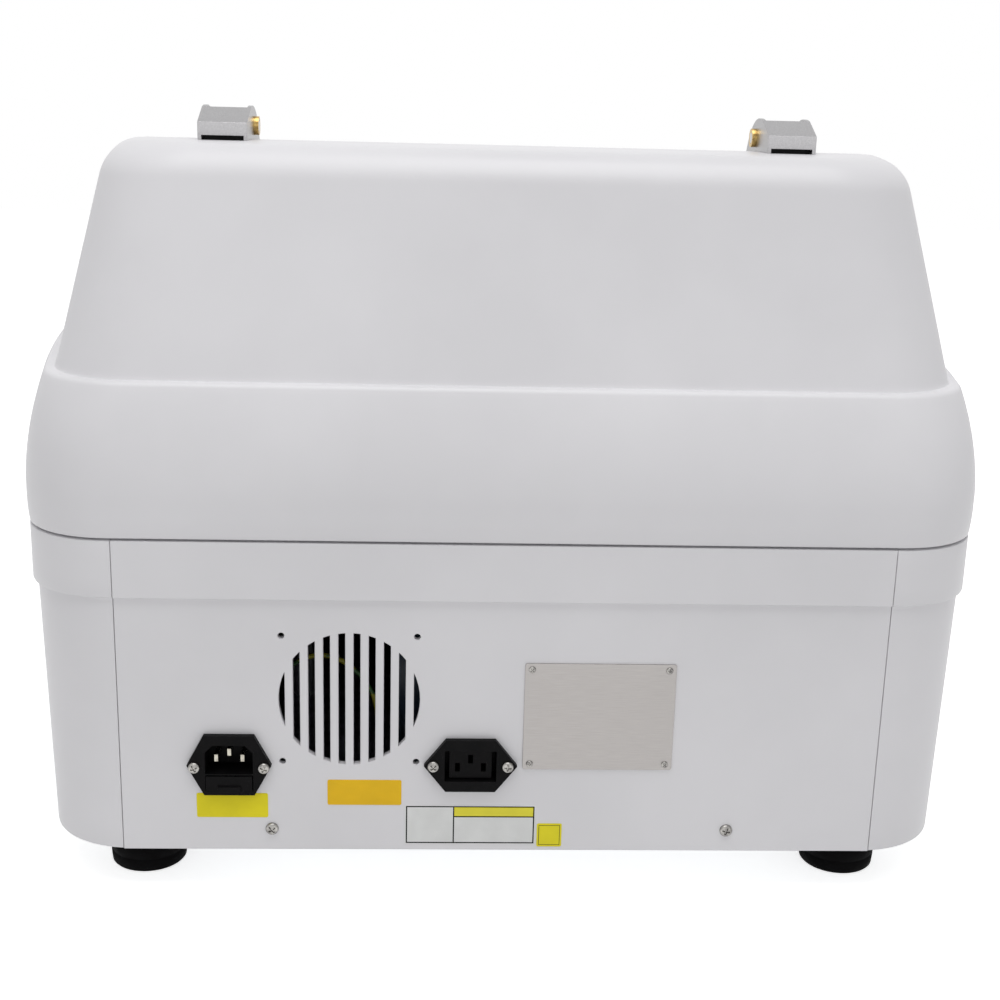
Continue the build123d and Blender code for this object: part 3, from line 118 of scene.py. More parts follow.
LID_SLOPE, CONSOLE_SLOPE = math.radians(14), math.radians(27)
KNEE_Z = TOP_Z - (CREST_Y - KNEE_Y) * math.tan(LID_SLOPE)
print("bowed side radius", round(SIDE_RADIUS, 1), "knee height", round(KNEE_Z, 1))

# %% [markdown]
# ## From numbers to meshes
# Every new surface here is a grid: rows times columns of points that numpy works out at once.
# The grid can close on itself in either direction, which makes a tube, a bowl or a ring.
# Blender's own primitives could start such shapes too, but a grid gives the exact outline and
# keeps neighbouring pieces lined up, since they share one formula.

# %% Grid faces
def grid_faces(rows, columns, close_rows=False, close_columns=True):
    """Each face joins point (row, column) with the next column, the next row, and both."""
    r, c = np.meshgrid(np.arange(rows if close_rows else rows - 1),
                       np.arange(columns if close_columns else columns - 1), indexing="ij")
    r, c = r.ravel(), c.ravel()
    r2, c2 = (r + 1) % rows, (c + 1) % columns
    corners = [r * columns + c, r * columns + c2, r2 * columns + c2, r2 * columns + c]
    return np.stack(corners, 1).tolist()


def merge_points(mesh, distance, turn_out=False):
    """Points within a distance in metres become one, and faces can be turned outwards."""
    tidy = bmesh.new()
    tidy.from_mesh(mesh)
    bmesh.ops.remove_doubles(tidy, verts=tidy.verts, dist=distance)
    if turn_out:
        bmesh.ops.recalc_face_normals(tidy, faces=tidy.faces)
    tidy.to_mesh(mesh)
    tidy.free()


def in_scene(name, data):
    """A new object with the given data, linked to the scene."""
    thing = bpy.data.objects.new(name, data)
    bpy.context.scene.collection.objects.link(thing)
    return thing


def mesh_object(name, points, faces):
    """Points in millimetres and faces become a closed mesh, doubles merged, faces outwards."""
    mesh = bpy.data.meshes.new(name)
    mesh.from_pydata((np.asarray(points, float).reshape(-1, 3) * MM).tolist(), [], faces)
    merge_points(mesh, distance=2e-6, turn_out=True)
    return in_scene(name, mesh)


print("faces of a tube of 3 rings", len(grid_faces(3, 8)))

# %% Shapes that are used again and again
def rounded_loop(half_x, low, high, corner, count=7):
    """Rectangle with round corners, anticlockwise, each a quarter circle of count points."""
    turn = np.linspace(0, math.pi / 2, count)
    loops = []
    for number, (sx, y) in enumerate([(1, high), (-1, high), (-1, low), (1, low)]):
        angle = turn + number * math.pi / 2
        centre_y = y - corner if y == high else y + corner
        loops.append(np.stack([sx * (half_x - corner) + corner * np.cos(angle),
                               centre_y + corner * np.sin(angle)], 1))
    return np.concatenate(loops)


def loft(loops, close_rows=False):
    """Equal loops joined row by row; unless the rows close, both ends shrink to their middle."""
    loops = np.asarray(loops, float)
    if not close_rows:
        first, last = [np.tile(end.mean(0), (1, len(end), 1)) for end in (loops[0], loops[-1])]
        loops = np.concatenate([first, loops, last])
    rows, columns = loops.shape[:2]
    return loops.reshape(-1, 3), grid_faces(rows, columns, close_rows)


def edge_steps(radius, count=4):
    """Quarter-round edge: how far each step moves in and how far it has risen."""
    angle = np.linspace(0, math.pi / 2, count)
    return zip(radius * (1 - np.cos(angle)), radius * np.sin(angle))


def plate(half_x, low, high, corner, bottom, top, edge, count=7):
    """Plate with round corners and a rounded upper edge, standing on its own XY plane."""
    def level(inset, height):
        flat = rounded_loop(half_x - inset, low + inset, high - inset,
                            max(corner - inset, 0.05), count)
        return np.column_stack([flat, np.full(len(flat), height)])
    rows = [level(edge / 3, bottom), level(0, bottom + edge / 3)]
    rows += [level(inset, top - edge + rise) for inset, rise in edge_steps(edge)]
    return loft(rows)


def turned(profile, count):
    """Radius and height pairs turned round the local Z axis: x = r cos a, y = r sin a."""
    profile = np.asarray(profile, float)
    angle = np.arange(count) * 2 * math.pi / count
    r, z = profile[:, :1], profile[:, 1:2]
    loops = np.stack([r * np.cos(angle), r * np.sin(angle), z + 0 * angle], 2)
    return loops.reshape(-1, 3), grid_faces(len(profile), count)


print("ring of a turned piece", turned([(1, 0), (1, 1)], 8)[0].shape)

# %% Planes of the machine's faces
LID = ((0, CREST_Y, TOP_Z), (1, 0, 0), (0, -math.sin(LID_SLOPE), math.cos(LID_SLOPE)))
CONSOLE = ((0, KNEE_Y, KNEE_Z), (1, 0, 0),
           (0, -math.sin(CONSOLE_SLOPE), math.cos(CONSOLE_SLOPE)))


def rear_face(x, z, y=PANEL_Y):
    """Plane on the rear panel: local x runs to the machine's left, local z out to the rear."""
    return (x, y, z), (-1, 0, 0), (0, 1, 0)


def along_x(x, y, z):
    """Plane square to the X axis, for turned pieces that lie along it."""
    return (x, y, z), (0, 1, 0), (1, 0, 0)


def placed(points, origin, x_axis, z_axis):
    """Local points on a plane: origin + x * x axis + y * (z axis cross x axis) + z * z axis."""
    x_axis, z_axis = np.asarray(x_axis, float), np.asarray(z_axis, float)
    y_axis = np.cross(z_axis, x_axis)
    return np.asarray(origin, float) + points @ np.stack([x_axis, y_axis, z_axis])


print("out of the lid", np.round(LID[2], 3), "out of the console", np.round(CONSOLE[2], 3))

# %% [markdown]
# ## Finishes
# A real surface is never one flat colour. One noise field moves the colour between two tones and
# the roughness between two values, and a finer one raises the grain. Stretching the field along
# one axis turns it into brush marks. All of them read object coordinates, which stay with the
# piece when it moves. A small bevel in the shader catches light on edges that are sharp in CAD.

# %% Nodes of a shader
def feed(tree, node, inputs):
    """Give each input, by name or number, a value or a link from another node's output."""
    for socket, given in inputs.items():
        if isinstance(given, bpy.types.NodeSocket):
            tree.links.new(given, node.inputs[socket])
        else:
            node.inputs[socket].default_value = given


def add_node(tree, kind, inputs=None, operation=None):
    """A new shader node, fed at once. A maths node is told its operation first."""
    node = tree.nodes.new("ShaderNode" + kind)
    if operation:
        node.operation = operation
    feed(tree, node, inputs or {})
    return node


def tone(red, green, blue):
    """A colour read off a screen, 0 to 255, as the linear value that the shader wants."""
    value = np.array([red, green, blue]) / 255
    linear = np.where(value <= 0.04045, value / 12.92, ((value + 0.055) / 1.055)**2.4)
    return (*linear.tolist(), 1.0)


print("middle grey as the shader wants it", round(tone(128, 128, 128)[0], 3))

# %% One recipe for all the finishes
NOISE_SPAN, BEVEL_SAMPLES, RELIEF_DETAIL = (0.3, 0.7), 4, 2.0


def finish(name, dark, light, rough, grain, relief=0.0, relief_grain=900.0,
           stretch=(1, 1, 1), edge=0.0, detail=3.0, ramp=(0.35, 0.65), **fixed):
    """Two tones and two roughnesses mixed by stretched noise, and finer noise as relief.

    Relief is in millimetres, and so is edge, the radius of the shader's bevel. What is fixed
    goes to the shader's own inputs.
    """
    material = bpy.data.materials.new(name)
    material.use_nodes = True
    tree = material.node_tree
    place = add_node(tree, "TexCoord").outputs["Object"]
    spot = add_node(tree, "Mapping", {"Vector": place, "Scale": stretch}).outputs["Vector"]
    field = add_node(tree, "TexNoise", {"Vector": spot, "Scale": grain, "Detail": detail})
    colour = add_node(tree, "ValToRGB", {"Fac": field.outputs["Fac"]})
    for end, position, shade in zip(colour.color_ramp.elements, ramp, (dark, light)):
        end.position, end.color = position, tone(*shade)
    gloss = add_node(tree, "MapRange", {
        "Value": field.outputs["Fac"], "From Min": NOISE_SPAN[0], "From Max": NOISE_SPAN[1],
        "To Min": rough[0], "To Max": rough[1]})
    normal = {}
    if edge:
        soft = add_node(tree, "Bevel", {"Radius": edge * MM})
        soft.samples = BEVEL_SAMPLES
        normal = {"Normal": soft.outputs["Normal"]}
    if relief:
        fine = add_node(tree, "TexNoise", {"Vector": spot, "Scale": relief_grain,
                                           "Detail": RELIEF_DETAIL})
        raised = add_node(tree, "Bump", {"Height": fine.outputs["Fac"], "Strength": 1.0,
                                         "Distance": relief * MM, **normal})
        normal = {"Normal": raised.outputs["Normal"]}
    feed(tree, tree.nodes["Principled BSDF"], {
        "Base Color": colour.outputs["Color"], "Roughness": gloss.outputs["Result"], **normal,
        **{socket.replace("_", " "): value for socket, value in fixed.items()}})
    return material


looks = {}


def look(slot, *tones_and_grain, name=None, **more):
    """The finish of a slot. The material has the slot's name unless it is given another."""
    looks[slot] = finish(name or slot, *tones_and_grain, **more)


# %% [markdown]
# ### The outside
# The shells are moulded and sprayed in a pale grey with a hint of lilac. Spray paint on plastic
# leaves a very fine orange peel and a satin gloss, and years of wiping make it a little uneven.
# The sockets, the feet and the hinge blocks are black, each with its own gloss. The metals are
# told apart by their brush marks: long ones on the brackets and the plate, none on the screws.
# Each line gives two tones, two roughnesses, the grain, the relief and the relief's grain.

# %% Finishes of the outside
look("casing", (216, 215, 218), (222, 221, 224), (0.36, 0.5), 9, 0.012, 1400,
     name="casing_paint", edge=0.7, detail=5.0)
look("black_rubber", (6, 6, 7), (13, 12, 13), (0.62, 0.85), 140, 0.05, 700,
     name="foot_rubber", Specular_IOR_Level=0.05)
look("socket_plastic", (8, 8, 9), (15, 14, 15), (0.34, 0.5), 160, 0.01, 1800,
     name="socket_black", edge=0.35, Specular_IOR_Level=0.06)
look("bright_screws", (122, 120, 118), (168, 166, 162), (0.16, 0.3), 300, 0.004, 2400,
     name="nickel_screws", Metallic=1.0)
look("pin_brass", (150, 146, 136), (184, 180, 168), (0.18, 0.3), 500, 0.004, 3000,
     name="plated_pins", edge=0.3, Metallic=1.0)
look("plate_aluminium", (150, 147, 145), (165, 161, 159), (0.36, 0.44), 60, 0.004, 900,
     name="brushed_plate", stretch=(1.5, 60, 60), ramp=(0.2, 0.8), Metallic=0.9)
look("hinge_steel", (150, 149, 151), (178, 177, 178), (0.28, 0.36), 50, 0.003, 800,
     name="brushed_bracket", stretch=(40, 2, 40), edge=0.4, ramp=(0.2, 0.8), Metallic=1.0)
look("bush_brass", (176, 142, 84), (214, 184, 118), (0.22, 0.36), 300, 0.004, 2400,
     name="brass_bush", Metallic=1.0)
look("block_plastic", (12, 12, 13), (21, 21, 22), (0.4, 0.55), 200, 0.01, 1500,
     name="hinge_block_black", Specular_IOR_Level=0.12)
look("arm_steel", (150, 150, 153), (188, 188, 190), (0.28, 0.42), 30, 0.006, 500,
     stretch=(30, 3, 30), edge=0.4, Metallic=1.0)
print("outside finishes", sorted(looks))

# %% Finishes of the lid, the console and the switch
look("lid_plastic", (72, 72, 78), (84, 84, 90), (0.4, 0.52), 12, 0.012, 1200, edge=0.5)
look("smoked_window", (96, 92, 92), (110, 106, 105), (0.03, 0.07), 8,
     Transmission_Weight=0.92, IOR=1.49)
look("seal_rubber", (20, 20, 21), (34, 34, 35), (0.65, 0.8), 200, 0.03, 900)
look("bezel_plastic", (46, 47, 52), (56, 57, 62), (0.42, 0.55), 30, 0.012, 1300, edge=0.4)
look("keypad_film", (94, 98, 108), (102, 106, 116), (0.46, 0.54), 120, 0.006, 1600, edge=0.4)
look("green_key", (44, 130, 76), (54, 144, 85), (0.4, 0.48), 160, 0.006, 1500)
look("red_key", (164, 40, 38), (178, 48, 45), (0.4, 0.48), 160, 0.006, 1500)
look("grey_key", (192, 194, 198), (204, 206, 210), (0.42, 0.5), 160, 0.006, 1500)
look("switch_plastic", (18, 18, 19), (28, 28, 29), (0.34, 0.48), 120, 0.01, 1500, edge=0.3)
look("rocker_plastic", (26, 26, 27), (38, 38, 39), (0.26, 0.38), 120, 0.008, 1500, edge=0.4)
print("with the front's finishes", len(looks))

# %% [markdown]
# ### Finishes inside
# With the lid up one sees a wet grinding chamber: a moulded tub, bright turned steel, and three
# wheels whose rims are metal full of diamond grit, coarse to fine. The grit is the same recipe
# with a strong, small relief. Castings are rougher and darker than machined faces.

# %% Finishes of the inside
lathe_marks = {"stretch": (40, 1, 1), "Metallic": 1.0}
look("tray_steel", (150, 154, 158), (186, 190, 194), (0.34, 0.52), 70, 0.01, 400,
     name="zinc_sheet", Metallic=0.85)
look("tub_plastic", (190, 193, 197), (206, 209, 212), (0.4, 0.56), 14, 0.02, 900, edge=0.6)
look("drain_plastic", (96, 98, 102), (112, 114, 118), (0.4, 0.55), 60, 0.02, 900)
look("nozzle_steel", (176, 176, 178), (214, 214, 214), (0.16, 0.28), 90, 0.004, 1500,
     Metallic=1.0)
look("coarse_diamond", (112, 104, 92), (172, 162, 144), (0.45, 0.7), 900, 0.16, 1500,
     Metallic=0.55)
look("fine_diamond", (132, 122, 100), (182, 170, 142), (0.4, 0.6), 1600, 0.07, 2600,
     Metallic=0.55)
look("polish_diamond", (156, 146, 128), (190, 182, 162), (0.32, 0.48), 2400, 0.03, 3600,
     Metallic=0.6)
look("turned_steel", (184, 184, 186), (202, 202, 204), (0.26, 0.32), 60, 0.0015, 500,
     stretch=(30, 1, 1), ramp=(0.2, 0.8), Metallic=1.0)
look("spacer_aluminium", (176, 178, 180), (208, 209, 210), (0.26, 0.4), 20, 0.004, 300,
     **lathe_marks)
look("bearing_iron", (70, 74, 78), (94, 98, 102), (0.5, 0.68), 60, 0.06, 420, edge=0.8,
     Metallic=0.3)
look("pulley_aluminium", (164, 166, 168), (204, 205, 206), (0.24, 0.4), 20, 0.005, 300,
     **lathe_marks)
look("belt_rubber", (22, 22, 22), (38, 37, 36), (0.6, 0.78), 260, 0.04, 1200,
     stretch=(4, 1, 1))
look("motor_paint", (46, 58, 74), (60, 72, 90), (0.36, 0.5), 40, 0.03, 700,
     name="motor_enamel", edge=0.8)
look("support_iron", (74, 78, 82), (98, 102, 106), (0.5, 0.68), 60, 0.06, 420, edge=0.8,
     Metallic=0.3)
look("head_casting", (156, 158, 162), (174, 176, 180), (0.38, 0.56), 60, 0.06, 420, edge=0.8,
     Metallic=0.5)
print("with the first inside finishes", len(looks))

# %% Finishes of the lens's holder and the electrics
look("cup_plastic", (40, 70, 120), (54, 86, 138), (0.34, 0.46), 200, 0.01, 1500)
look("lens_glass", (238, 244, 242), (248, 252, 250), (0.01, 0.03), 10,
     Transmission_Weight=0.96, IOR=1.5)
look("pad_rubber", (52, 50, 50), (70, 68, 68), (0.6, 0.76), 300, 0.03, 1200)
look("core_steel", (64, 66, 70), (94, 96, 100), (0.4, 0.58), 12, 0.03, 500,
     stretch=(1, 90, 1), Metallic=0.6)
look("board_green", (18, 74, 50), (32, 98, 68), (0.34, 0.5), 220, 0.02, 900)
look("wire_plastic", (40, 84, 36), (150, 144, 40), (0.4, 0.5), 90, 0.01, 900,
     name="earth_wire", ramp=(0.46, 0.5))
look("fuse_glass", (196, 200, 198), (226, 228, 226), (0.08, 0.2), 300, Metallic=0.4)
print("finishes", len(looks), "printed later", sorted(set(node_slot.values()) - set(looks)))

# %% [markdown]
# ### Putting a finish on
# Each piece stands for a CAD node, so it rides on that node's body, and the node's slot names its
# finish. Shading is smooth up to a crease angle, so that real edges stay sharp.

# %% Dress a piece as its node
def dress(thing, node, crease=35, material=None):
    """Smooth shading with creases past an angle, the finish, and the body and slot of the node."""
    body, slot = node_body[node], node_slot[node]
    thing.data.polygons.foreach_set("use_smooth", np.ones(len(thing.data.polygons), bool))
    thing.data.set_sharp_from_angle(angle=math.radians(crease))
    thing.data.materials.clear()
    thing.data.materials.append(material or looks[slot])
    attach(thing, body)
    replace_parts(thing, node)
    print(thing.name, "faces", len(thing.data.polygons), [round(v, 3) for v in thing.dimensions])


def fitted(name, shape, plane, node, crease=35, material=None):
    """A shape of points and faces, put on a plane of the machine and dressed as its node."""
    points, faces = shape
    dress(mesh_object(name, placed(points, *plane), faces), node, crease, material)


print("bodies that carry pieces", len(set(node_body.values())))

# %% [markdown]
# ## The casing in plan
# Seen from above, the casing has straight ends, bowed sides and round corners, and every level
# is the same outline moved in a little. The outline is the one thing that the eye follows round
# the machine, so it is worked out from its circles and not drawn by hand: a big circle for each
# side, and corner arcs that touch both it and the straight end.

# %% Plan outline
def half_outline(side, ends, counts, start_x=None, end_x=0.0):
    """Right half from the rear to the front: line, corner arc, bowed side, corner arc, line.

    A corner arc of radius c has its centre c inside the end line and R - c from the centre of
    the side circle, so it touches both. With start_x the path begins on the rear corner.
    """
    side, ends = [np.asarray(v, float).reshape(-1, 1) for v in (side, ends)]
    radius = SIDE_RADIUS - side
    rear_y, front_y = REAR_Y - ends - REAR_ROUND, FRONT_Y + ends + FRONT_ROUND
    rear_x = CIRCLE_X + np.sqrt((radius - REAR_ROUND)**2 - (rear_y - WIDEST_Y)**2)
    front_x = CIRCLE_X + np.sqrt((radius - FRONT_ROUND)**2 - (front_y - WIDEST_Y)**2)
    rear_turn = np.arctan2(rear_y - WIDEST_Y, rear_x - CIRCLE_X)
    front_turn = np.arctan2(front_y - WIDEST_Y, front_x - CIRCLE_X)
    steps = [np.arange(count) / count for count in counts]
    xs, ys = [], []
    first = math.pi / 2
    if start_x is None:
        xs.append(rear_x * steps[0])
        ys.append(REAR_Y - ends + 0 * steps[0])
    else:
        first = np.arccos((start_x - rear_x) / REAR_ROUND)
    arcs = [(rear_x, rear_y, REAR_ROUND, first, rear_turn, steps[1]),
            (CIRCLE_X, WIDEST_Y, radius, rear_turn, front_turn, steps[2]),
            (front_x, front_y, FRONT_ROUND, front_turn, -math.pi / 2, steps[3])]
    for x, y, r, start, end, step in arcs:
        angle = start + (end - start) * step
        xs.append(x + r * np.cos(angle))
        ys.append(y + r * np.sin(angle))
    last = np.append(steps[4], 1.0)
    xs.append(front_x + (end_x - front_x) * last)
    ys.append(FRONT_Y + ends + 0 * last)
    return np.concatenate(xs, 1), np.concatenate(ys, 1)


COVER_COUNTS = (16, 20, 76, 26, 18)
SHELL_COUNTS = (0, 14, 90, 26, 5)


def full_outline(side, ends):
    """The right half and its mirror image as one closed loop, rows by columns."""
    x, y = half_outline(side, ends, COVER_COUNTS)
    return np.concatenate([x, -x[:, -2:0:-1]], 1), np.concatenate([y, y[:, -2:0:-1]], 1)


x, y = full_outline([0.0], [0.0])
print("widest outline", round(2 * x.max(), 1), "by", round(y.max() - y.min(), 1), "points", x.size)

# %% [markdown]
# ## Upper cover
# The top half is one deep moulding. From the parting line a band bulges out and leans in, then
# a narrow ledge, then walls that lean in to a soft top edge. The top falls in two slopes towards
# the operator, and a well in it takes the chamber cover.
# It could be boxed out and subdivided, but a subdivided cage wanders off the true outline. Here it
# is a height field instead: each wall point is as high as the wall, or as the slope above it,
# whichever is lower, and the two are blended over a few millimetres so that the edge is soft.

# %% Walls of the cover
BAND_INSET, BAND_LEAN, BAND_BOWS = 0.8, 0.0364, (0.003145, 0.004359)
LEAN_FEET, LEAN_RUNS, LEAN_RISE = (17.3, 22.6), (31.2, 37.4), 117.4
TOP_ROUND, TOP_ROUND_Z, TOP_ROUND_INSETS = 24.0, 375.0, (66.95, 77.5)
OUTER_ARC_Z, INNER_ARC_Z = (381.2, 382.3), (380.5, 380.5)
KNEE_REACH, INNER_REACH = 0.4, 0.3


def band_insets(z):
    """How far the band is moved in at a height: a straight lean plus a parabola."""
    rise = z - BAND_Z
    bow = rise * (z - BULGE_Z)
    return [np.maximum(BAND_INSET - BAND_LEAN * rise + share * bow, 0) for share in BAND_BOWS]


def wall_insets(z, thickness, arc_z):
    """How far the leaning wall is moved in: straight, and from arc_z up a quarter-round arc."""
    lean = [foot + (z - SHOULDER_Z) * run / LEAN_RISE + thickness
            for foot, run in zip(LEAN_FEET, LEAN_RUNS)]
    bend = np.sqrt(np.maximum((TOP_ROUND - thickness)**2 - (z - TOP_ROUND_Z)**2, 0))
    return [np.where(z < limit, line, centre - bend)
            for limit, line, centre in zip(arc_z, lean, TOP_ROUND_INSETS)]


def soft_min(a, b, reach):
    """Smaller of two heights, rounded where they cross: minus k log(exp(-a/k) + exp(-b/k))."""
    low = np.minimum(a, b)
    return low - reach * np.log(np.exp((low - a) / reach) + np.exp((low - b) / reach))


def slope_height(y, shift=0.0):
    """Height of the top face: a flat strip, the cover's slope and the console's slope."""
    lid = TOP_Z - (CREST_Y - y) * math.tan(LID_SLOPE) + shift / math.cos(LID_SLOPE)
    console = (KNEE_Z - (KNEE_Y - y) * math.tan(CONSOLE_SLOPE)
               + shift / math.cos(CONSOLE_SLOPE))
    return soft_min(soft_min(TOP_Z + shift, lid, KNEE_REACH), console, KNEE_REACH)


print("band insets up the sides", band_insets(np.array([BAND_Z, BULGE_Z, SHOULDER_Z]))[0].round(2))

# %% Rows of the cover
EDGE_RISE, EDGE_INSETS = np.array([0, 0.15, 0.5]), [1.0, 0.5, 0.15]
SHOULDER_ROUND, SHOULDER_INSETS = 2.2, np.array([11.7, 17.0])
LEDGE_RISE, LEDGE_INSETS = np.array([0, 0, 0.5]), np.array([[15.6, 20.9], [17.0, 22.3],
                                                            [17.35, 22.65]])
BAND_ROWS, SHOULDER_ROWS, WALL_ROWS, ARC_ROWS = 34, 5, 46, 14
ARC_FROM, SOFT_FROM_Z, SOFT_REACH = 13, 368.0, (3.0, 0.3)


def cover_walls():
    """Outer rows from the lower edge to the top edge, each a plan outline at its own height.

    The shoulder is a curve (1-t)^2 a + 2t(1-t) b + t^2 c, where b is its sharp corner.
    """
    band_top = SHOULDER_Z - SHOULDER_ROUND
    band_z = np.concatenate([COVER_EDGE_Z + EDGE_RISE,
                             np.linspace(BAND_Z + 1.0, band_top, BAND_ROWS)])
    band = band_insets(band_z)
    extra = np.concatenate([EDGE_INSETS, np.zeros(BAND_ROWS)])
    t = np.linspace(0.2, 1, SHOULDER_ROWS)[:, None]
    start, end = np.array([b[-1] for b in band]), SHOULDER_INSETS + SHOULDER_ROUND
    bend = (1 - t)**2 * start + 2 * t * (1 - t) * SHOULDER_INSETS + t**2 * end
    bend_z = band_top + SHOULDER_ROUND * (1 - (1 - t[:, 0])**2)
    arc = np.sin(np.radians(np.linspace(ARC_FROM, 90, ARC_ROWS)))
    wall_z = np.concatenate([np.linspace(SHOULDER_Z + 2.0, 379.0, WALL_ROWS),
                             TOP_ROUND_Z + TOP_ROUND * arc])
    wall = wall_insets(wall_z, 0.0, OUTER_ARC_Z)
    z = np.concatenate([band_z, bend_z, SHOULDER_Z + LEDGE_RISE, wall_z])
    x, y = full_outline(*[np.concatenate([band[i] + extra, bend[:, i], LEDGE_INSETS[:, i],
                                          wall[i]]) for i in (0, 1)])
    reach = np.interp(z, [SOFT_FROM_Z, TOP_Z], SOFT_REACH)[:, None]
    return x, y, soft_min(np.broadcast_to(z[:, None], x.shape), slope_height(y), reach)


wall_x, wall_y, wall_z = cover_walls()
print("wall rows and columns", wall_x.shape, "top", round(wall_z.max(), 1))

# %% Well for the chamber cover
WELL_HALF_X, WELL_HALF_U, WELL_ROUND, WELL_U, WELL_EDGE = 186.0, 120.0, 26.0, 152.0, 1.5


def lid_spot(x, u, w):
    """A point on the lid's slope, given across, down the slope and out of it."""
    return (x, CREST_Y - u * math.cos(LID_SLOPE) - w * math.sin(LID_SLOPE),
            TOP_Z - u * math.sin(LID_SLOPE) + w * math.cos(LID_SLOPE))


def well_loop(grow):
    """Where rays from the well's middle to the top edge cross the well's round-cornered edge.

    Forty halvings of each ray close in on the share of it that lies within the edge.
    """
    half_x, half_u, corner = WELL_HALF_X + grow, WELL_HALF_U + grow, WELL_ROUND + grow
    middle_y = CREST_Y - WELL_U * math.cos(LID_SLOPE)
    dx, du = wall_x[-1], (middle_y - wall_y[-1]) / math.cos(LID_SLOPE)
    low, high = np.zeros_like(dx), np.ones_like(dx)
    for _ in range(40):
        t = (low + high) / 2
        qx, qu = np.abs(t * dx) - half_x + corner, np.abs(t * du) - half_u + corner
        outside = (np.hypot(np.maximum(qx, 0), np.maximum(qu, 0))
                   + np.minimum(np.maximum(qx, qu), 0))
        low, high = np.where(outside < corner, t, low), np.where(outside < corner, high, t)
    return low * dx, WELL_U + low * du


loop_x, loop_u = well_loop(0.0)
print("well half width", round(loop_x.max(), 1), "u", round(loop_u.min(), 1),
      round(loop_u.max(), 1))

# %% The cover as one ring of rows
INNER_WALL_Z = np.array([395.0, 394.0, 391.5, 387.0, 380.0, 370.0, 355.0, 335.0, 315.0, 295.0,
                         282.0])
INNER_BAND_Z = np.array([277.6, 262.0, 244.0, 225.6, 212.0, COVER_EDGE_Z])
TOP_ROWS, INNER_ROWS = 24, 9


def between(start, end, count):
    """Evenly spaced rows between two loops, neither of them included."""
    return start + (end - start) * (np.arange(1, count) / count)[:, None]


def cover_points():
    """Walls, top face in to the well, its rounded edge, and the inner skin back down."""
    rim = np.stack(lid_spot(*well_loop(WELL_EDGE), 0.0), 1)
    top_x, top_y = [between(wall[-1], rim[:, i], TOP_ROWS)
                    for i, wall in enumerate((wall_x, wall_y))]
    rows = [np.stack([wall_x, wall_y, wall_z], 2),
            np.stack([top_x, top_y, slope_height(top_y)], 2), rim[None]]
    for turn in np.radians([30, 60, 90]):
        x, u = well_loop(WELL_EDGE * (1 - math.sin(turn)))
        rows.append(np.stack(lid_spot(x, u, -WELL_EDGE * (1 - math.cos(turn))), 1)[None])
    edge = np.stack(lid_spot(loop_x, loop_u, -WALL), 1)
    rows.append(edge[None])
    inset, band = wall_insets(INNER_WALL_Z, WALL, INNER_ARC_Z), band_insets(INNER_BAND_Z)
    x, y = full_outline(*[np.concatenate([inset[i], band[i] + WALL]) for i in (0, 1)])
    level = np.concatenate([INNER_WALL_Z, INNER_BAND_Z])[:, None]
    height = soft_min(np.broadcast_to(level, x.shape), slope_height(y, -WALL), INNER_REACH)
    in_x, in_y = [between(edge[:, i], loop[0], INNER_ROWS) for i, loop in enumerate((x, y))]
    rows.append(np.stack([in_x, in_y, slope_height(in_y, -WALL)], 2))
    rows.append(np.stack([x, y, height], 2))
    return np.concatenate(rows)


points = cover_points()
cover = mesh_object("upper_cover_shell", points, grid_faces(*points.shape[:2], close_rows=True))
print("cover rows", points.shape[0], "faces", len(cover.data.polygons))

# %% [markdown]
# The display and the keypad hang in two cut-outs of the console. A Boolean with a plain box is the
# quickest way to make such holes in a finished skin, and the plates hide their edges.

# %% Cut-outs of the console
DISPLAY_X, KEYPAD_X = -92.0, 88.0
CUT_OUTS, CUT_OUT_U, CUT_OUT_W = [(DISPLAY_X, 69.3), (KEYPAD_X, 73.3)], (51.7, 144.3), (-14.0, 6.0)


def sloped_box(name, plane, x, u, w):
    """Box with sharp edges on a sloped face, used only as a cutter."""
    corners = np.array([(a, -b, c) for a in x for b in u for c in w], float)
    faces = [(0, 1, 3, 2), (4, 6, 7, 5), (0, 4, 5, 1), (2, 3, 7, 6), (0, 2, 6, 4), (1, 5, 7, 3)]
    return mesh_object(name, placed(corners, *plane), faces)


def cut(thing, cutters, how="DIFFERENCE"):
    """Subtract the cutters, or keep what lies in them, as a plain mesh, and remove them."""
    for cutter in cutters:
        hole = thing.modifiers.new("hole", "BOOLEAN")
        hole.object, hole.operation, hole.solver = cutter, how, "EXACT"
    evaluated = thing.evaluated_get(bpy.context.evaluated_depsgraph_get())
    result = bpy.data.meshes.new_from_object(evaluated)
    thing.modifiers.clear()
    thing.data = result
    for cutter in cutters:
        bpy.data.objects.remove(cutter)


cut(cover, [sloped_box("cut_" + str(n), CONSOLE, (x - half, x + half), CUT_OUT_U, CUT_OUT_W)
            for n, (x, half) in enumerate(CUT_OUTS)])
dress(cover, "upper_cover", crease=30)

# %% [markdown]
# ## Side shells
# Two shells wrap the lower half from a seam in the rear to one in the front. Their section is
# always the same: a wall that leans out a little, a belt that stands proud of it, and a thin rib
# that fills the parting line from behind. So the section is carried along the plan outline.

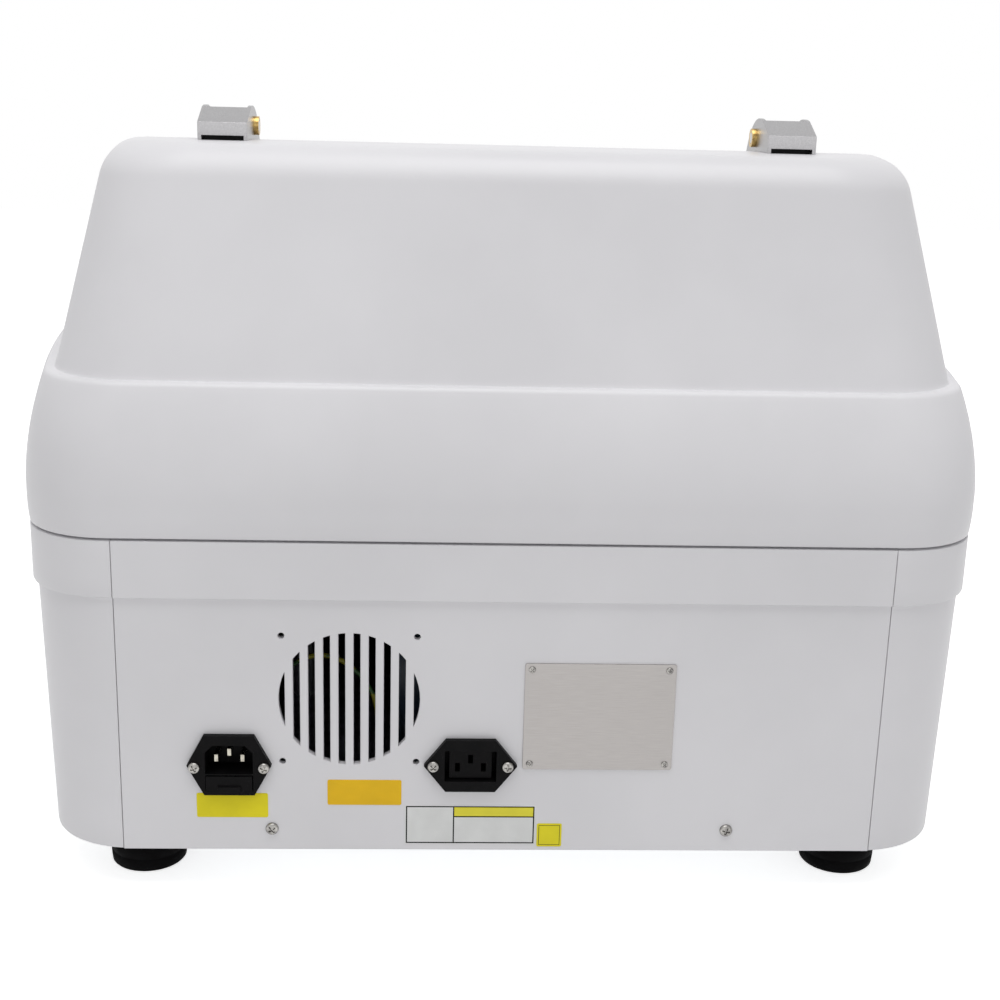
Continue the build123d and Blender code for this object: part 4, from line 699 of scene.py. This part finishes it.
# %% Sweep of a side shell
def shell_section():
    """Closed section, up the outside and back down inside: height, side inset, end inset."""
    rows = [(BOTTOM_Z, 8.2, 3.8), (27.15, 7.5, 3.1), (27.5, 7.15, 2.75), (28.2, 6.97, 2.6)]
    rows += [(z, 7.0 - 3.6 * (z - BOTTOM_Z) / 144.0, 2.6) for z in np.linspace(40, 168, 9)]
    rows += [(170.6, 3.4, 2.6), (LEDGE_Z, 3.1, 2.4), (LEDGE_Z, 1.6, 1.6), (171.3, 1.05, 1.05)]
    rows += [(z, 0.8, 0.8) for z in (172.0, 180.0, 193.0, 201.0)]
    rows += [(201.7, 1.05, 1.05), (PARTING_Z, 1.8, 1.8), (PARTING_Z, 5.1, 5.1),
             (210.5, 5.1, 5.1), (211.0, 5.5, 5.5), (211.0, 7.4, 6.6), (LEDGE_Z, 7.4, 6.6),
             (100.0, 9.175, 6.6), (BOTTOM_Z, 11.0, 6.6)]
    return np.array(rows)


def side_shell(name, mirror):
    """The section at every point of the outline between the seams, with a flat cap at each."""
    z, side, ends = shell_section().T
    x, y = half_outline(side, ends, SHELL_COUNTS, REAR_SEAM, FRONT_SEAM)
    points = np.stack([mirror * x, y, np.broadcast_to(z[:, None], x.shape)], 2)
    rows, columns = x.shape
    faces = grid_faces(rows, columns, close_rows=True, close_columns=False)
    cap = np.arange(rows) * columns
    return mesh_object(name, points, faces + [cap.tolist(), (cap + columns - 1).tolist()])


for name, mirror in (("left_side_shell", -1), ("right_side_shell", 1)):
    dress(side_shell(name + "_skin", mirror), name, crease=30)

# %% [markdown]
# ## Pieces whose CAD shape is right
# Many pieces are already as they should be, but a CAD mesh is loose triangles and shades flat.
# A copy with its points merged can be smoothed up to the angle of its real edges. The shape stays
# the same to the micrometre, and the shader's bevel lights the edges.

# %% Smoothed copies of CAD pieces
def smoothed(*chosen):
    """Copies of CAD nodes with merged points and smooth shading, each with its own finish."""
    for node in chosen:
        mesh = frame["nodes"][node].data.copy()
        mesh.name = node + "_fine"
        merge_points(mesh, distance=4e-6)
        for layer in list(mesh.attributes):
            if layer.name in ("custom_normal", "sharp_face", "sharp_edge"):
                mesh.attributes.remove(layer)
        dress(in_scene(node + "_fine", mesh), node, crease=32)


smoothed("rear_panel", "front_panel")

# %% [markdown]
# ## Rear panel fittings
# The panel carries a mains inlet, a pump outlet, a vent, a metal plate and four stickers. The
# sockets are moulded blocks with sharp little details, which the CAD model has, so smoothed copies
# serve. The screws are what a close look finds: pan heads with a cross recess. Such a head is a
# height field over a disc, a flat dome from which a cross with soft walls is taken away.

# %% Sockets and pins
smoothed("inlet_body", "inlet_pins", "outlet_body", "fuse_drawer", "fuse", "earth_wire")


# %% Pan-head screws with a cross recess
def screw_head(radius, height, turn, columns=64):
    """Polar height field h (1 - 0.16 q^2 - 0.5 q^8), q = r / radius, less a steep-walled cross."""
    ring = np.concatenate([np.linspace(0, 0.72, 22), np.linspace(0.76, 1.0, 8)])[::-1]
    angle = np.arange(columns) * 2 * math.pi / columns
    r, a = np.meshgrid(ring * radius, angle, indexing="ij")
    dome = height * (1 - 0.16 * (r / radius)**2 - 0.5 * (r / radius)**8)
    x, y = np.abs(r * np.cos(a + turn)), np.abs(r * np.sin(a + turn))
    arm, reach, wall = 0.15 * radius, 0.62 * radius, 0.07 * radius
    along = np.minimum(np.maximum(x, y) - reach, 0) / -wall
    across = (arm - np.minimum(x, y)) / wall
    inside = np.clip(np.minimum(along, across), 0, 1)
    z = dome - inside * np.minimum(0.45 * height, 0.9)
    top = np.stack([r * np.cos(a), r * np.sin(a), z], 2)
    foot = np.stack([radius * np.cos(angle), radius * np.sin(angle), 0 * angle], 1)
    rows = np.concatenate([[foot * [0, 0, 1]], [foot], top])
    return rows.reshape(-1, 3), grid_faces(len(rows), columns)


def gathered(name, shapes):
    """Several point and face lists as one mesh."""
    points, faces, start = [], [], 0
    for some_points, some_faces in shapes:
        points.append(some_points)
        faces += [[corner + start for corner in face] for face in some_faces]
        start += len(some_points)
    return mesh_object(name, np.concatenate(points), faces)


PLATE_X, PLATE_Z, PLATE_THICKNESS, PLATE_SCREWS = -51.3, 106.1, 0.8, (36.7, 27.2)
SOCKET_HEAD, PANEL_HEAD, PLATE_HEAD = (3.2, 2.0), (3.5, 2.0), (1.9, 0.9)
# Each head: x, z and y of its seat, radius and height, and how far its cross is turned
heads = [(127.8, 76.7, FLANGE_Y, SOCKET_HEAD, 0.4), (164.8, 76.7, FLANGE_Y, SOCKET_HEAD, 1.1),
         (-2.8, 78.2, FLANGE_Y, SOCKET_HEAD, 0.1), (37.2, 78.2, FLANGE_Y, SOCKET_HEAD, 0.8),
         (-124.2, 39.4, PANEL_Y, PANEL_HEAD, 0.3), (124.2, 39.4, PANEL_Y, PANEL_HEAD, 0.9)]
heads += [(PLATE_X + i * PLATE_SCREWS[0], PLATE_Z + j * PLATE_SCREWS[1],
           PANEL_Y + PLATE_THICKNESS, PLATE_HEAD, 0.3 * i + 0.5 * j)
          for i in (-1, 1) for j in (-1, 1)]
shapes = []
for x, z, y, head, turn in heads:
    points, faces = screw_head(*head, turn)
    shapes.append((placed(points, *rear_face(x, z, y)), faces))
dress(gathered("rear_screw_heads", shapes), "rear_screws", crease=50)

# %% [markdown]
# The metal plate is thin brushed aluminium with nipped corners and is left bare. The stickers are
# printed film: plain fields of colour, one with ruled lines and one with a thin border. Each is a
# plate with its own finish, and all four stand for one CAD node.

# %% Rating plate
fitted("rating_plate_sheet",
       plate(half_x=40.5, low=-30.5, high=30.5, corner=1.2, bottom=0.0, top=PLATE_THICKNESS,
             edge=0.2), rear_face(PLATE_X, PLATE_Z), "rating_plate")


# %% Printed film
def blended(tree, share, below, above, how="MIX"):
    """One colour laid over another by a share; each may be a value or another node's output."""
    mix = add_node(tree, "Mix")
    mix.data_type, mix.blend_type = "RGBA", how
    feed(tree, mix, {0: share, 6: below, 7: above})
    return mix.outputs[2]


def film(name, ground, boxes, rough=(0.4, 0.52), **fixed):
    """Printed film: boxes of colour painted in turn over a ground, all shaded by one faint grain.

    A point lies in a box when its distance from the box's middle is within half the box's size,
    along x and along z at once.
    """
    material = finish(name, (246, 246, 246), (255, 255, 255), rough, grain=60, relief=0.004,
                      relief_grain=900, **fixed)
    tree = material.node_tree
    place = next(node for node in tree.nodes if node.type == "TEX_COORD")
    apart = add_node(tree, "SeparateXYZ", {"Vector": place.outputs["Object"]})
    first = add_node(tree, "RGB")
    first.outputs[0].default_value = tone(*ground)
    painted = first.outputs[0]
    for low_x, high_x, low_z, high_z, shade in boxes:
        inside = add_node(tree, "Math", operation="MULTIPLY")
        for number, (axis, low, high) in enumerate((("X", low_x, high_x), ("Z", low_z, high_z))):
            within = add_node(tree, "Math", {
                0: apart.outputs[axis], 1: (low + high) / 2 * MM, 2: (high - low) / 2 * MM},
                "COMPARE")
            feed(tree, inside, {number: within.outputs[0]})
        painted = blended(tree, inside.outputs[0], painted, tone(*shade))
    shader = tree.nodes["Principled BSDF"]
    grain = shader.inputs["Base Color"].links[0].from_socket
    feed(tree, shader, {"Base Color": blended(tree, 1.0, painted, grain, "MULTIPLY")})
    return material


# %% Stickers
PALE, INK, SIGNAL = (226, 227, 226), (14, 14, 15), (232, 222, 74)
EARTH_YELLOW, EARTH_LINE = (232, 220, 50), (120, 112, 40)
# Each: x and z of its middle, width, height, ground, and the boxes measured from its middle
stickers = {
    "mains": (145.3, 53.2, 38.3, 14.3, (234, 220, 44), []),
    "pump": (74.2, 61.1, 39.9, 14.8, (236, 190, 40), []),
    "notice": (16.7, 42.1, 71.4, 23.4, PALE,
               [(-35.0, 35.0, -11.1, 11.1, INK), (9.4, 34.3, -10.4, 10.4, PALE),
                (-34.3, 8.7, -10.4, 4.5, PALE), (-34.3, 8.7, 5.2, 10.4, SIGNAL)]),
    "earth": (-26.7, 36.1, 13.7, 13.9, EARTH_YELLOW,
              [(-5.9, 5.9, -6.0, 6.0, EARTH_LINE), (-5.5, 5.5, -5.6, 5.6, EARTH_YELLOW)]),
}
for name, (x, z, width, height, ground, boxes) in stickers.items():
    boxes = [(x + low_x, x + high_x, z + low_z, z + high_z, shade)
             for low_x, high_x, low_z, high_z, shade in boxes]
    printed = film("film_" + name, ground, boxes, Specular_IOR_Level=0.12)
    fitted("sticker_" + name, plate(width / 2, -height / 2, height / 2, corner=1.0, bottom=0.0,
                                    top=0.2, edge=0.06),
           rear_face(x, z), "rear_labels", material=printed)

# %% [markdown]
# ## Feet
# Four rubber feet lift the machine off the bench. Each is a turned cone that widens upwards, with a
# rounded sole and two shallow rings, so a profile turned round a vertical axis is all it takes.

# %% Rubber feet
FOOT_X, FOOT_Y = (-199.0, 199.0), (266.5, -245.0)
sole = [(0, 0), (18.6, 0), (19.9, 0.3), (20.7, 1.2), (21.0, 4.0), (21.2, 6.6), (20.7, 7.2),
        (20.7, 7.9), (21.25, 8.5), (21.7, 14.6), (21.2, 15.2), (21.2, 15.9), (21.8, 16.5),
        (22.5, 25.4), (22.6, 26.4), (22.3, 26.9), (0, 26.9)]
points, faces = turned(sole, count=64)
feet = gathered("rubber_feet_turned",
                [(points + np.array([x, y, 0.0]), faces) for x in FOOT_X for y in FOOT_Y])
dress(feet, "rubber_feet", crease=50)

# %% [markdown]
# ## Hinges of the chamber cover
# On the crest stand two bent steel channels with a pin through each, and an arm from each pin is
# screwed to the cover. They are folded sheet with small bends, which the smoothed CAD copies show.

# %% Brackets, pins, bushes, blocks and arms
smoothed("hinge_brackets", "hinge_pins", "hinge_bushes", "hinge_blocks", "lid_arms")

# %% [markdown]
# ## Chamber cover
# The cover is a flat moulded frame that lies flush in its well, with a smoked window let into it
# and a raised grip near the front edge. The frame is one ring: its section goes up the outside,
# over the top, down into the window's rebate, through the hole and back underneath.

# %% Frame, window and grip
def lid_rows(loops):
    """Each row: half width, start u, end u, corner radius, inset and w on the lid's slope."""
    rows = []
    for half, start, end, corner, inset, w in loops:
        flat = rounded_loop(half - inset, inset - end, -start - inset,
                            max(corner - inset, 0.2), count=9)
        rows.append(np.column_stack([flat, np.full(len(flat), w)]))
    return rows


rim, seat, hole = (184.0, 34.0, 270.0, 24.0), (148.3, 83.7, 226.3, 14.3), (142.0, 90.0, 220.0, 8.0)
section = [(*rim, 1.0, -12.0), (*rim, 0.3, -11.7), (*rim, 0.0, -11.0), (*rim, 0.0, -1.6),
           (*rim, 0.35, -0.6), (*rim, 0.9, -0.12), (*rim, 1.6, 0.0), (*rim, 14.0, 0.0),
           (*seat, -0.5, 0.0), (*seat, -0.1, -0.15), (*seat, 0.0, -0.5), (*seat, 0.0, -3.0),
           (*hole, 0.0, -3.0), (*hole, 0.0, -11.5), (*hole, -0.5, -12.0)]
fitted("lid_frame_skin", loft(lid_rows(section), close_rows=True), LID, "lid_frame", crease=40)
fitted("lid_grip", plate(half_x=52.0, low=-250.0, high=-238.0, corner=5.0, bottom=-0.4, top=9.0,
                         edge=3.2, count=9), LID, "lid_frame", crease=50)
fitted("lid_window_pane", plate(half_x=148.0, low=-226.0, high=-84.0, corner=14.0, bottom=-3.0,
                                top=0.0, edge=0.5, count=9), LID, "lid_window", crease=40)

# %% [markdown]
# ## Console
# Left of the middle is a display behind glass, right of it six keys in a plate. The keys are turned
# caps with a shallow dish for the finger, and each rides on its own body so that it can be pressed.
# The display's lit field is painted on its glass in the same way as the fields of the stickers.

# %% Display, key plate and switch
LIT_HALF, LIT_U, GLASS_RISE = 57.0, (65.0, 131.0), 2.4
smoothed("display_bezel", "keypad_plate", "switch_frame", "switch_rocker", "opening_gasket")


def console_height(u):
    """Height above the bench of a point on the glass, u down the console's slope."""
    return KNEE_Z - u * math.sin(CONSOLE_SLOPE) + GLASS_RISE


def shifted(x, shape):
    """A shape of points and faces moved across."""
    points, faces = shape
    return points + np.array([x, 0.0, 0.0]), faces


lit = (DISPLAY_X - LIT_HALF, DISPLAY_X + LIT_HALF, *[console_height(u) for u in LIT_U[::-1]])
glass = film("screen_glass_printed", (10, 11, 13), [(*lit, (30, 44, 50))], (0.06, 0.12))
fitted("display_screen_pane",
       shifted(DISPLAY_X, plate(half_x=62.0, low=-136.0, high=-60.0, corner=2.5, bottom=1.4,
                                top=3.0, edge=0.3)),
       CONSOLE, "display_screen", crease=40, material=glass)

# %% Round corners of the plates
for node, x, half in (("display_bezel", DISPLAY_X, 75.0), ("keypad_plate", KEYPAD_X, 79.0)):
    points, faces = shifted(x, plate(half, low=-150.0, high=-46.0, corner=7.0, bottom=-20.0,
                                     top=3.0, edge=0.9, count=9))
    round_block = mesh_object(node + "_outline", placed(points, *CONSOLE), faces)
    piece = bpy.data.objects[node + "_fine"]
    cut(piece, [round_block], "INTERSECT")
    dress(piece, node, crease=40)

# %% Keys
KEYS = {"start_key": (40, 76), "stop_key": (88, 76), "clamp_key": (136, 76),
        "shape_key": (40, 120), "plus_key": (88, 120), "minus_key": (136, 120)}
KEY_RADIUS, KEY_RIM, RIM_FROM_W, KEY_TOP_W, DISH_RADIUS, DISH_DEPTH = 14.0, 1.7, 5.9, 7.6, 12.0, 0.7


def key_profile():
    """Stem, underside, side, rounded rim and a dish that falls as depth * (1 - (r / R)^2)."""
    rows = [(0, -9.0), (5.6, -9.0), (6.0, -8.6), (6.0, 2.8), (13.7, 2.8), (KEY_RADIUS, 3.1),
            (KEY_RADIUS, RIM_FROM_W)]
    rows += [(KEY_RADIUS - KEY_RIM * (1 - math.cos(t)), RIM_FROM_W + KEY_RIM * math.sin(t))
             for t in np.radians([30, 60, 90])]
    return rows + [(r, KEY_TOP_W - DISH_DEPTH * (1 - (r / DISH_RADIUS)**2))
                   for r in np.linspace(DISH_RADIUS, 0.0, 9)]


for name, (x, u) in KEYS.items():
    points, faces = turned(key_profile(), count=56)
    fitted(name + "_cap", (points + np.array([x, -u, 0.0]), faces), CONSOLE, name, crease=50)

# %% [markdown]
# ## Wheels and lens
# Three wheels sit on the spindle: a coarse one, a finishing one with the bevel groove, and a
# polishing one. They are turned discs with chamfered rims. The lens is a meniscus: both faces are
# spheres of one radius R, so a point at distance r from the middle moves by R - sqrt(R*R - r*r).

# %% Grinding wheels
SPINDLE_Y, SPINDLE_Z = -25.011, 176.0
WHEEL_RADIUS, CHAMFER, GROOVE, RECESS = 50.0, 0.8, 1.6, 1.2
WHEELS = {"roughing_wheel": (-32, -12), "finishing_wheel": (-10, 12), "polishing_wheel": (14, 32)}


def wheel_profile(half, groove):
    """Disc profile from face to face, recessed round the hub, its rim chamfered or grooved too."""
    rows = [(0, -half), (20.5, -half), (21.5, -half + RECESS), (41.0, -half + RECESS),
            (42.0, -half), (WHEEL_RADIUS - CHAMFER, -half), (WHEEL_RADIUS, -half + CHAMFER)]
    notch = [(WHEEL_RADIUS, -2.0), (WHEEL_RADIUS - GROOVE, 0.0), (WHEEL_RADIUS, 2.0)]
    return rows + (notch if groove else []) + [(r, -z) for r, z in reversed(rows)]


for name, (low, high) in WHEELS.items():
    profile = wheel_profile((high - low) / 2, name == "finishing_wheel")
    fitted(name + "_disc", turned(profile, count=112),
           along_x((low + high) / 2, SPINDLE_Y, SPINDLE_Z), name, crease=25)

# %% Lens blank
LENS_Y, LENS_Z, LENS_RADIUS, LENS_CURVE, HALF_THICK = 4.977, 273.0, 35.0, 130.0, 1.5
reach = np.linspace(0, LENS_RADIUS, 15)
sag = LENS_CURVE - np.sqrt(LENS_CURVE**2 - reach**2)
face = np.stack([reach, sag - HALF_THICK], 1)
back = np.stack([reach, sag + HALF_THICK], 1)[::-1]
profile = np.concatenate([face, [(LENS_RADIUS, sag[-1])], back])
fitted("lens_blank_glass", turned(profile, count=96), along_x(0.0, LENS_Y, LENS_Z),
       "lens_blank", crease=30)

# %% [markdown]
# ## Everything else inside
# The tub, the shafts, the castings and the electrics are simple machined or moulded shapes. What
# they need is a smooth copy and a finish that tells cast iron from turned steel.

# %% The rest of the nodes
shown = {name for thing in bpy.data.objects for name in thing.get("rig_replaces", [])}
smoothed(*[name for name in sorted(node_body) if name not in shown])

# %% [markdown]
# ## Camera, light and floor
# The camera stands behind the machine and looks down on it a little, turned and rolled by the
# angles that line up the panel's verticals and the parting line. The floor is matt and pale: the
# camera sees it as white through a little glow of its own, and it still takes the shadow.

# %% Camera
LENS_MM, SENSOR_MM, CAMERA_PLACE = 54.63, 36.0, (0.0399, 1.0616, 0.4324)
pitch, yaw, roll = [math.radians(angle) for angle in (15.32, 2.66, 1.496)]


def turn_about(axis, angle):
    """Matrix of a turn about one axis: cosines for the other two, and the sine and its minus."""
    a, b = (axis + 1) % 3, (axis + 2) % 3
    turn = np.eye(3)
    turn[a, a] = turn[b, b] = math.cos(angle)
    turn[a, b], turn[b, a] = math.sin(angle), -math.sin(angle)
    return turn


camera_data = bpy.data.cameras.new("camera")
camera_data.lens, camera_data.sensor_width = LENS_MM, SENSOR_MM
camera_data.sensor_fit = "HORIZONTAL"
camera = in_scene("camera", camera_data)
axes = turn_about(2, roll) @ turn_about(0, pitch) @ turn_about(1, yaw)
right, up, forward = np.stack([-axes[:, 0], -axes[:, 2], axes[:, 1]], 1)
camera.matrix_world = Matrix.Translation(CAMERA_PLACE) @ Matrix(
    np.stack([right, up, -forward], 1).tolist()).to_4x4()
bpy.context.scene.camera = camera
print("camera looks along", forward.round(3), "up", up.round(3))


# %% World and lamps
def seen_directly(tree):
    """1 for camera, glossy and transmission rays, 0 for the rest."""
    rays = add_node(tree, "LightPath")
    total = rays.outputs["Is Camera Ray"]
    for name in ("Is Glossy Ray", "Is Transmission Ray"):
        total = add_node(tree, "Math", {0: total, 1: rays.outputs[name]}, "MAXIMUM").outputs[0]
    return total


AMBIENT, AS_SEEN = 0.44, 1.0
world = bpy.data.worlds.new("studio")
bpy.context.scene.world = world
world.use_nodes = True
tree = world.node_tree
level = add_node(tree, "MapRange", {"Value": seen_directly(tree), "To Min": AMBIENT,
                                    "To Max": AS_SEEN})
feed(tree, tree.nodes["Background"],
     {"Strength": level.outputs["Result"], "Color": (1, 1, 1, 1)})


def softbox(name, place, target, size, power):
    """Square area lamp that faces a target point."""
    lamp = bpy.data.lights.new(name, "AREA")
    lamp.size, lamp.energy = size, power
    thing = in_scene(name, lamp)
    away = np.array(place) - np.array(target)
    away = away / np.linalg.norm(away)
    across = np.cross([0.0, 1.0, 0.001], away)
    across = across / np.linalg.norm(across)
    basis = np.stack([across, np.cross(away, across), away], 1)
    thing.matrix_world = Matrix.Translation(place) @ Matrix(basis.tolist()).to_4x4()
    print(name, "at", place, "with", power, "watts")


softbox("top_light", (0.05, 0.6, 2.5), target=(0, 0, 0.3), size=1.8, power=33.0)
softbox("rear_fill", (-0.1, 2.7, 0.5), target=(0, 0.2, 0.12), size=1.8, power=7.0)

# %% Floor
FLOOR_HALF, FLOOR_TONE, FLOOR_GLOW = 4e3, 0.85, 0.72
corners = np.array([(-1, -1, 0), (1, -1, 0), (1, 1, 0), (-1, 1, 0)])
floor = mesh_object("floor", FLOOR_HALF * corners, [(0, 1, 2, 3)])
board = bpy.data.materials.new("matt_floor")
board.use_nodes = True
tree = board.node_tree
shader = tree.nodes["Principled BSDF"]
feed(tree, shader, {"Base Color": (FLOOR_TONE, FLOOR_TONE, FLOOR_TONE, 1), "Roughness": 0.95,
                    "Specular IOR Level": 0.0})
level = add_node(tree, "Math", {0: seen_directly(tree), 1: FLOOR_GLOW}, "MULTIPLY")
glow = add_node(tree, "Emission", {"Strength": level.outputs[0]})
both = add_node(tree, "AddShader", {0: shader.outputs["BSDF"], 1: glow.outputs["Emission"]})
feed(tree, tree.nodes["Material Output"], {"Surface": both.outputs["Shader"]})
floor.data.materials.append(board)
floor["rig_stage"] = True
bpy.context.scene.view_settings.view_transform = "Standard"
print("floor", [round(v, 1) for v in floor.dimensions])

# %% [markdown]
# ## Finish
# How far the dressed machine's box reaches past the CAD one's is printed. The dressed
# machine must stay inside the box of the CAD one.

# %% Boxes and finish
dressed_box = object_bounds()
boxes = {"cad": [list(corner) for corner in cad_box], "dressed": [list(corner) for corner in dressed_box]}
print("grown by", [round(1000 * (b - a), 2) for a, b in zip(cad_box[1], dressed_box[1])],
      [round(1000 * (a - b), 2) for a, b in zip(cad_box[0], dressed_box[0])])
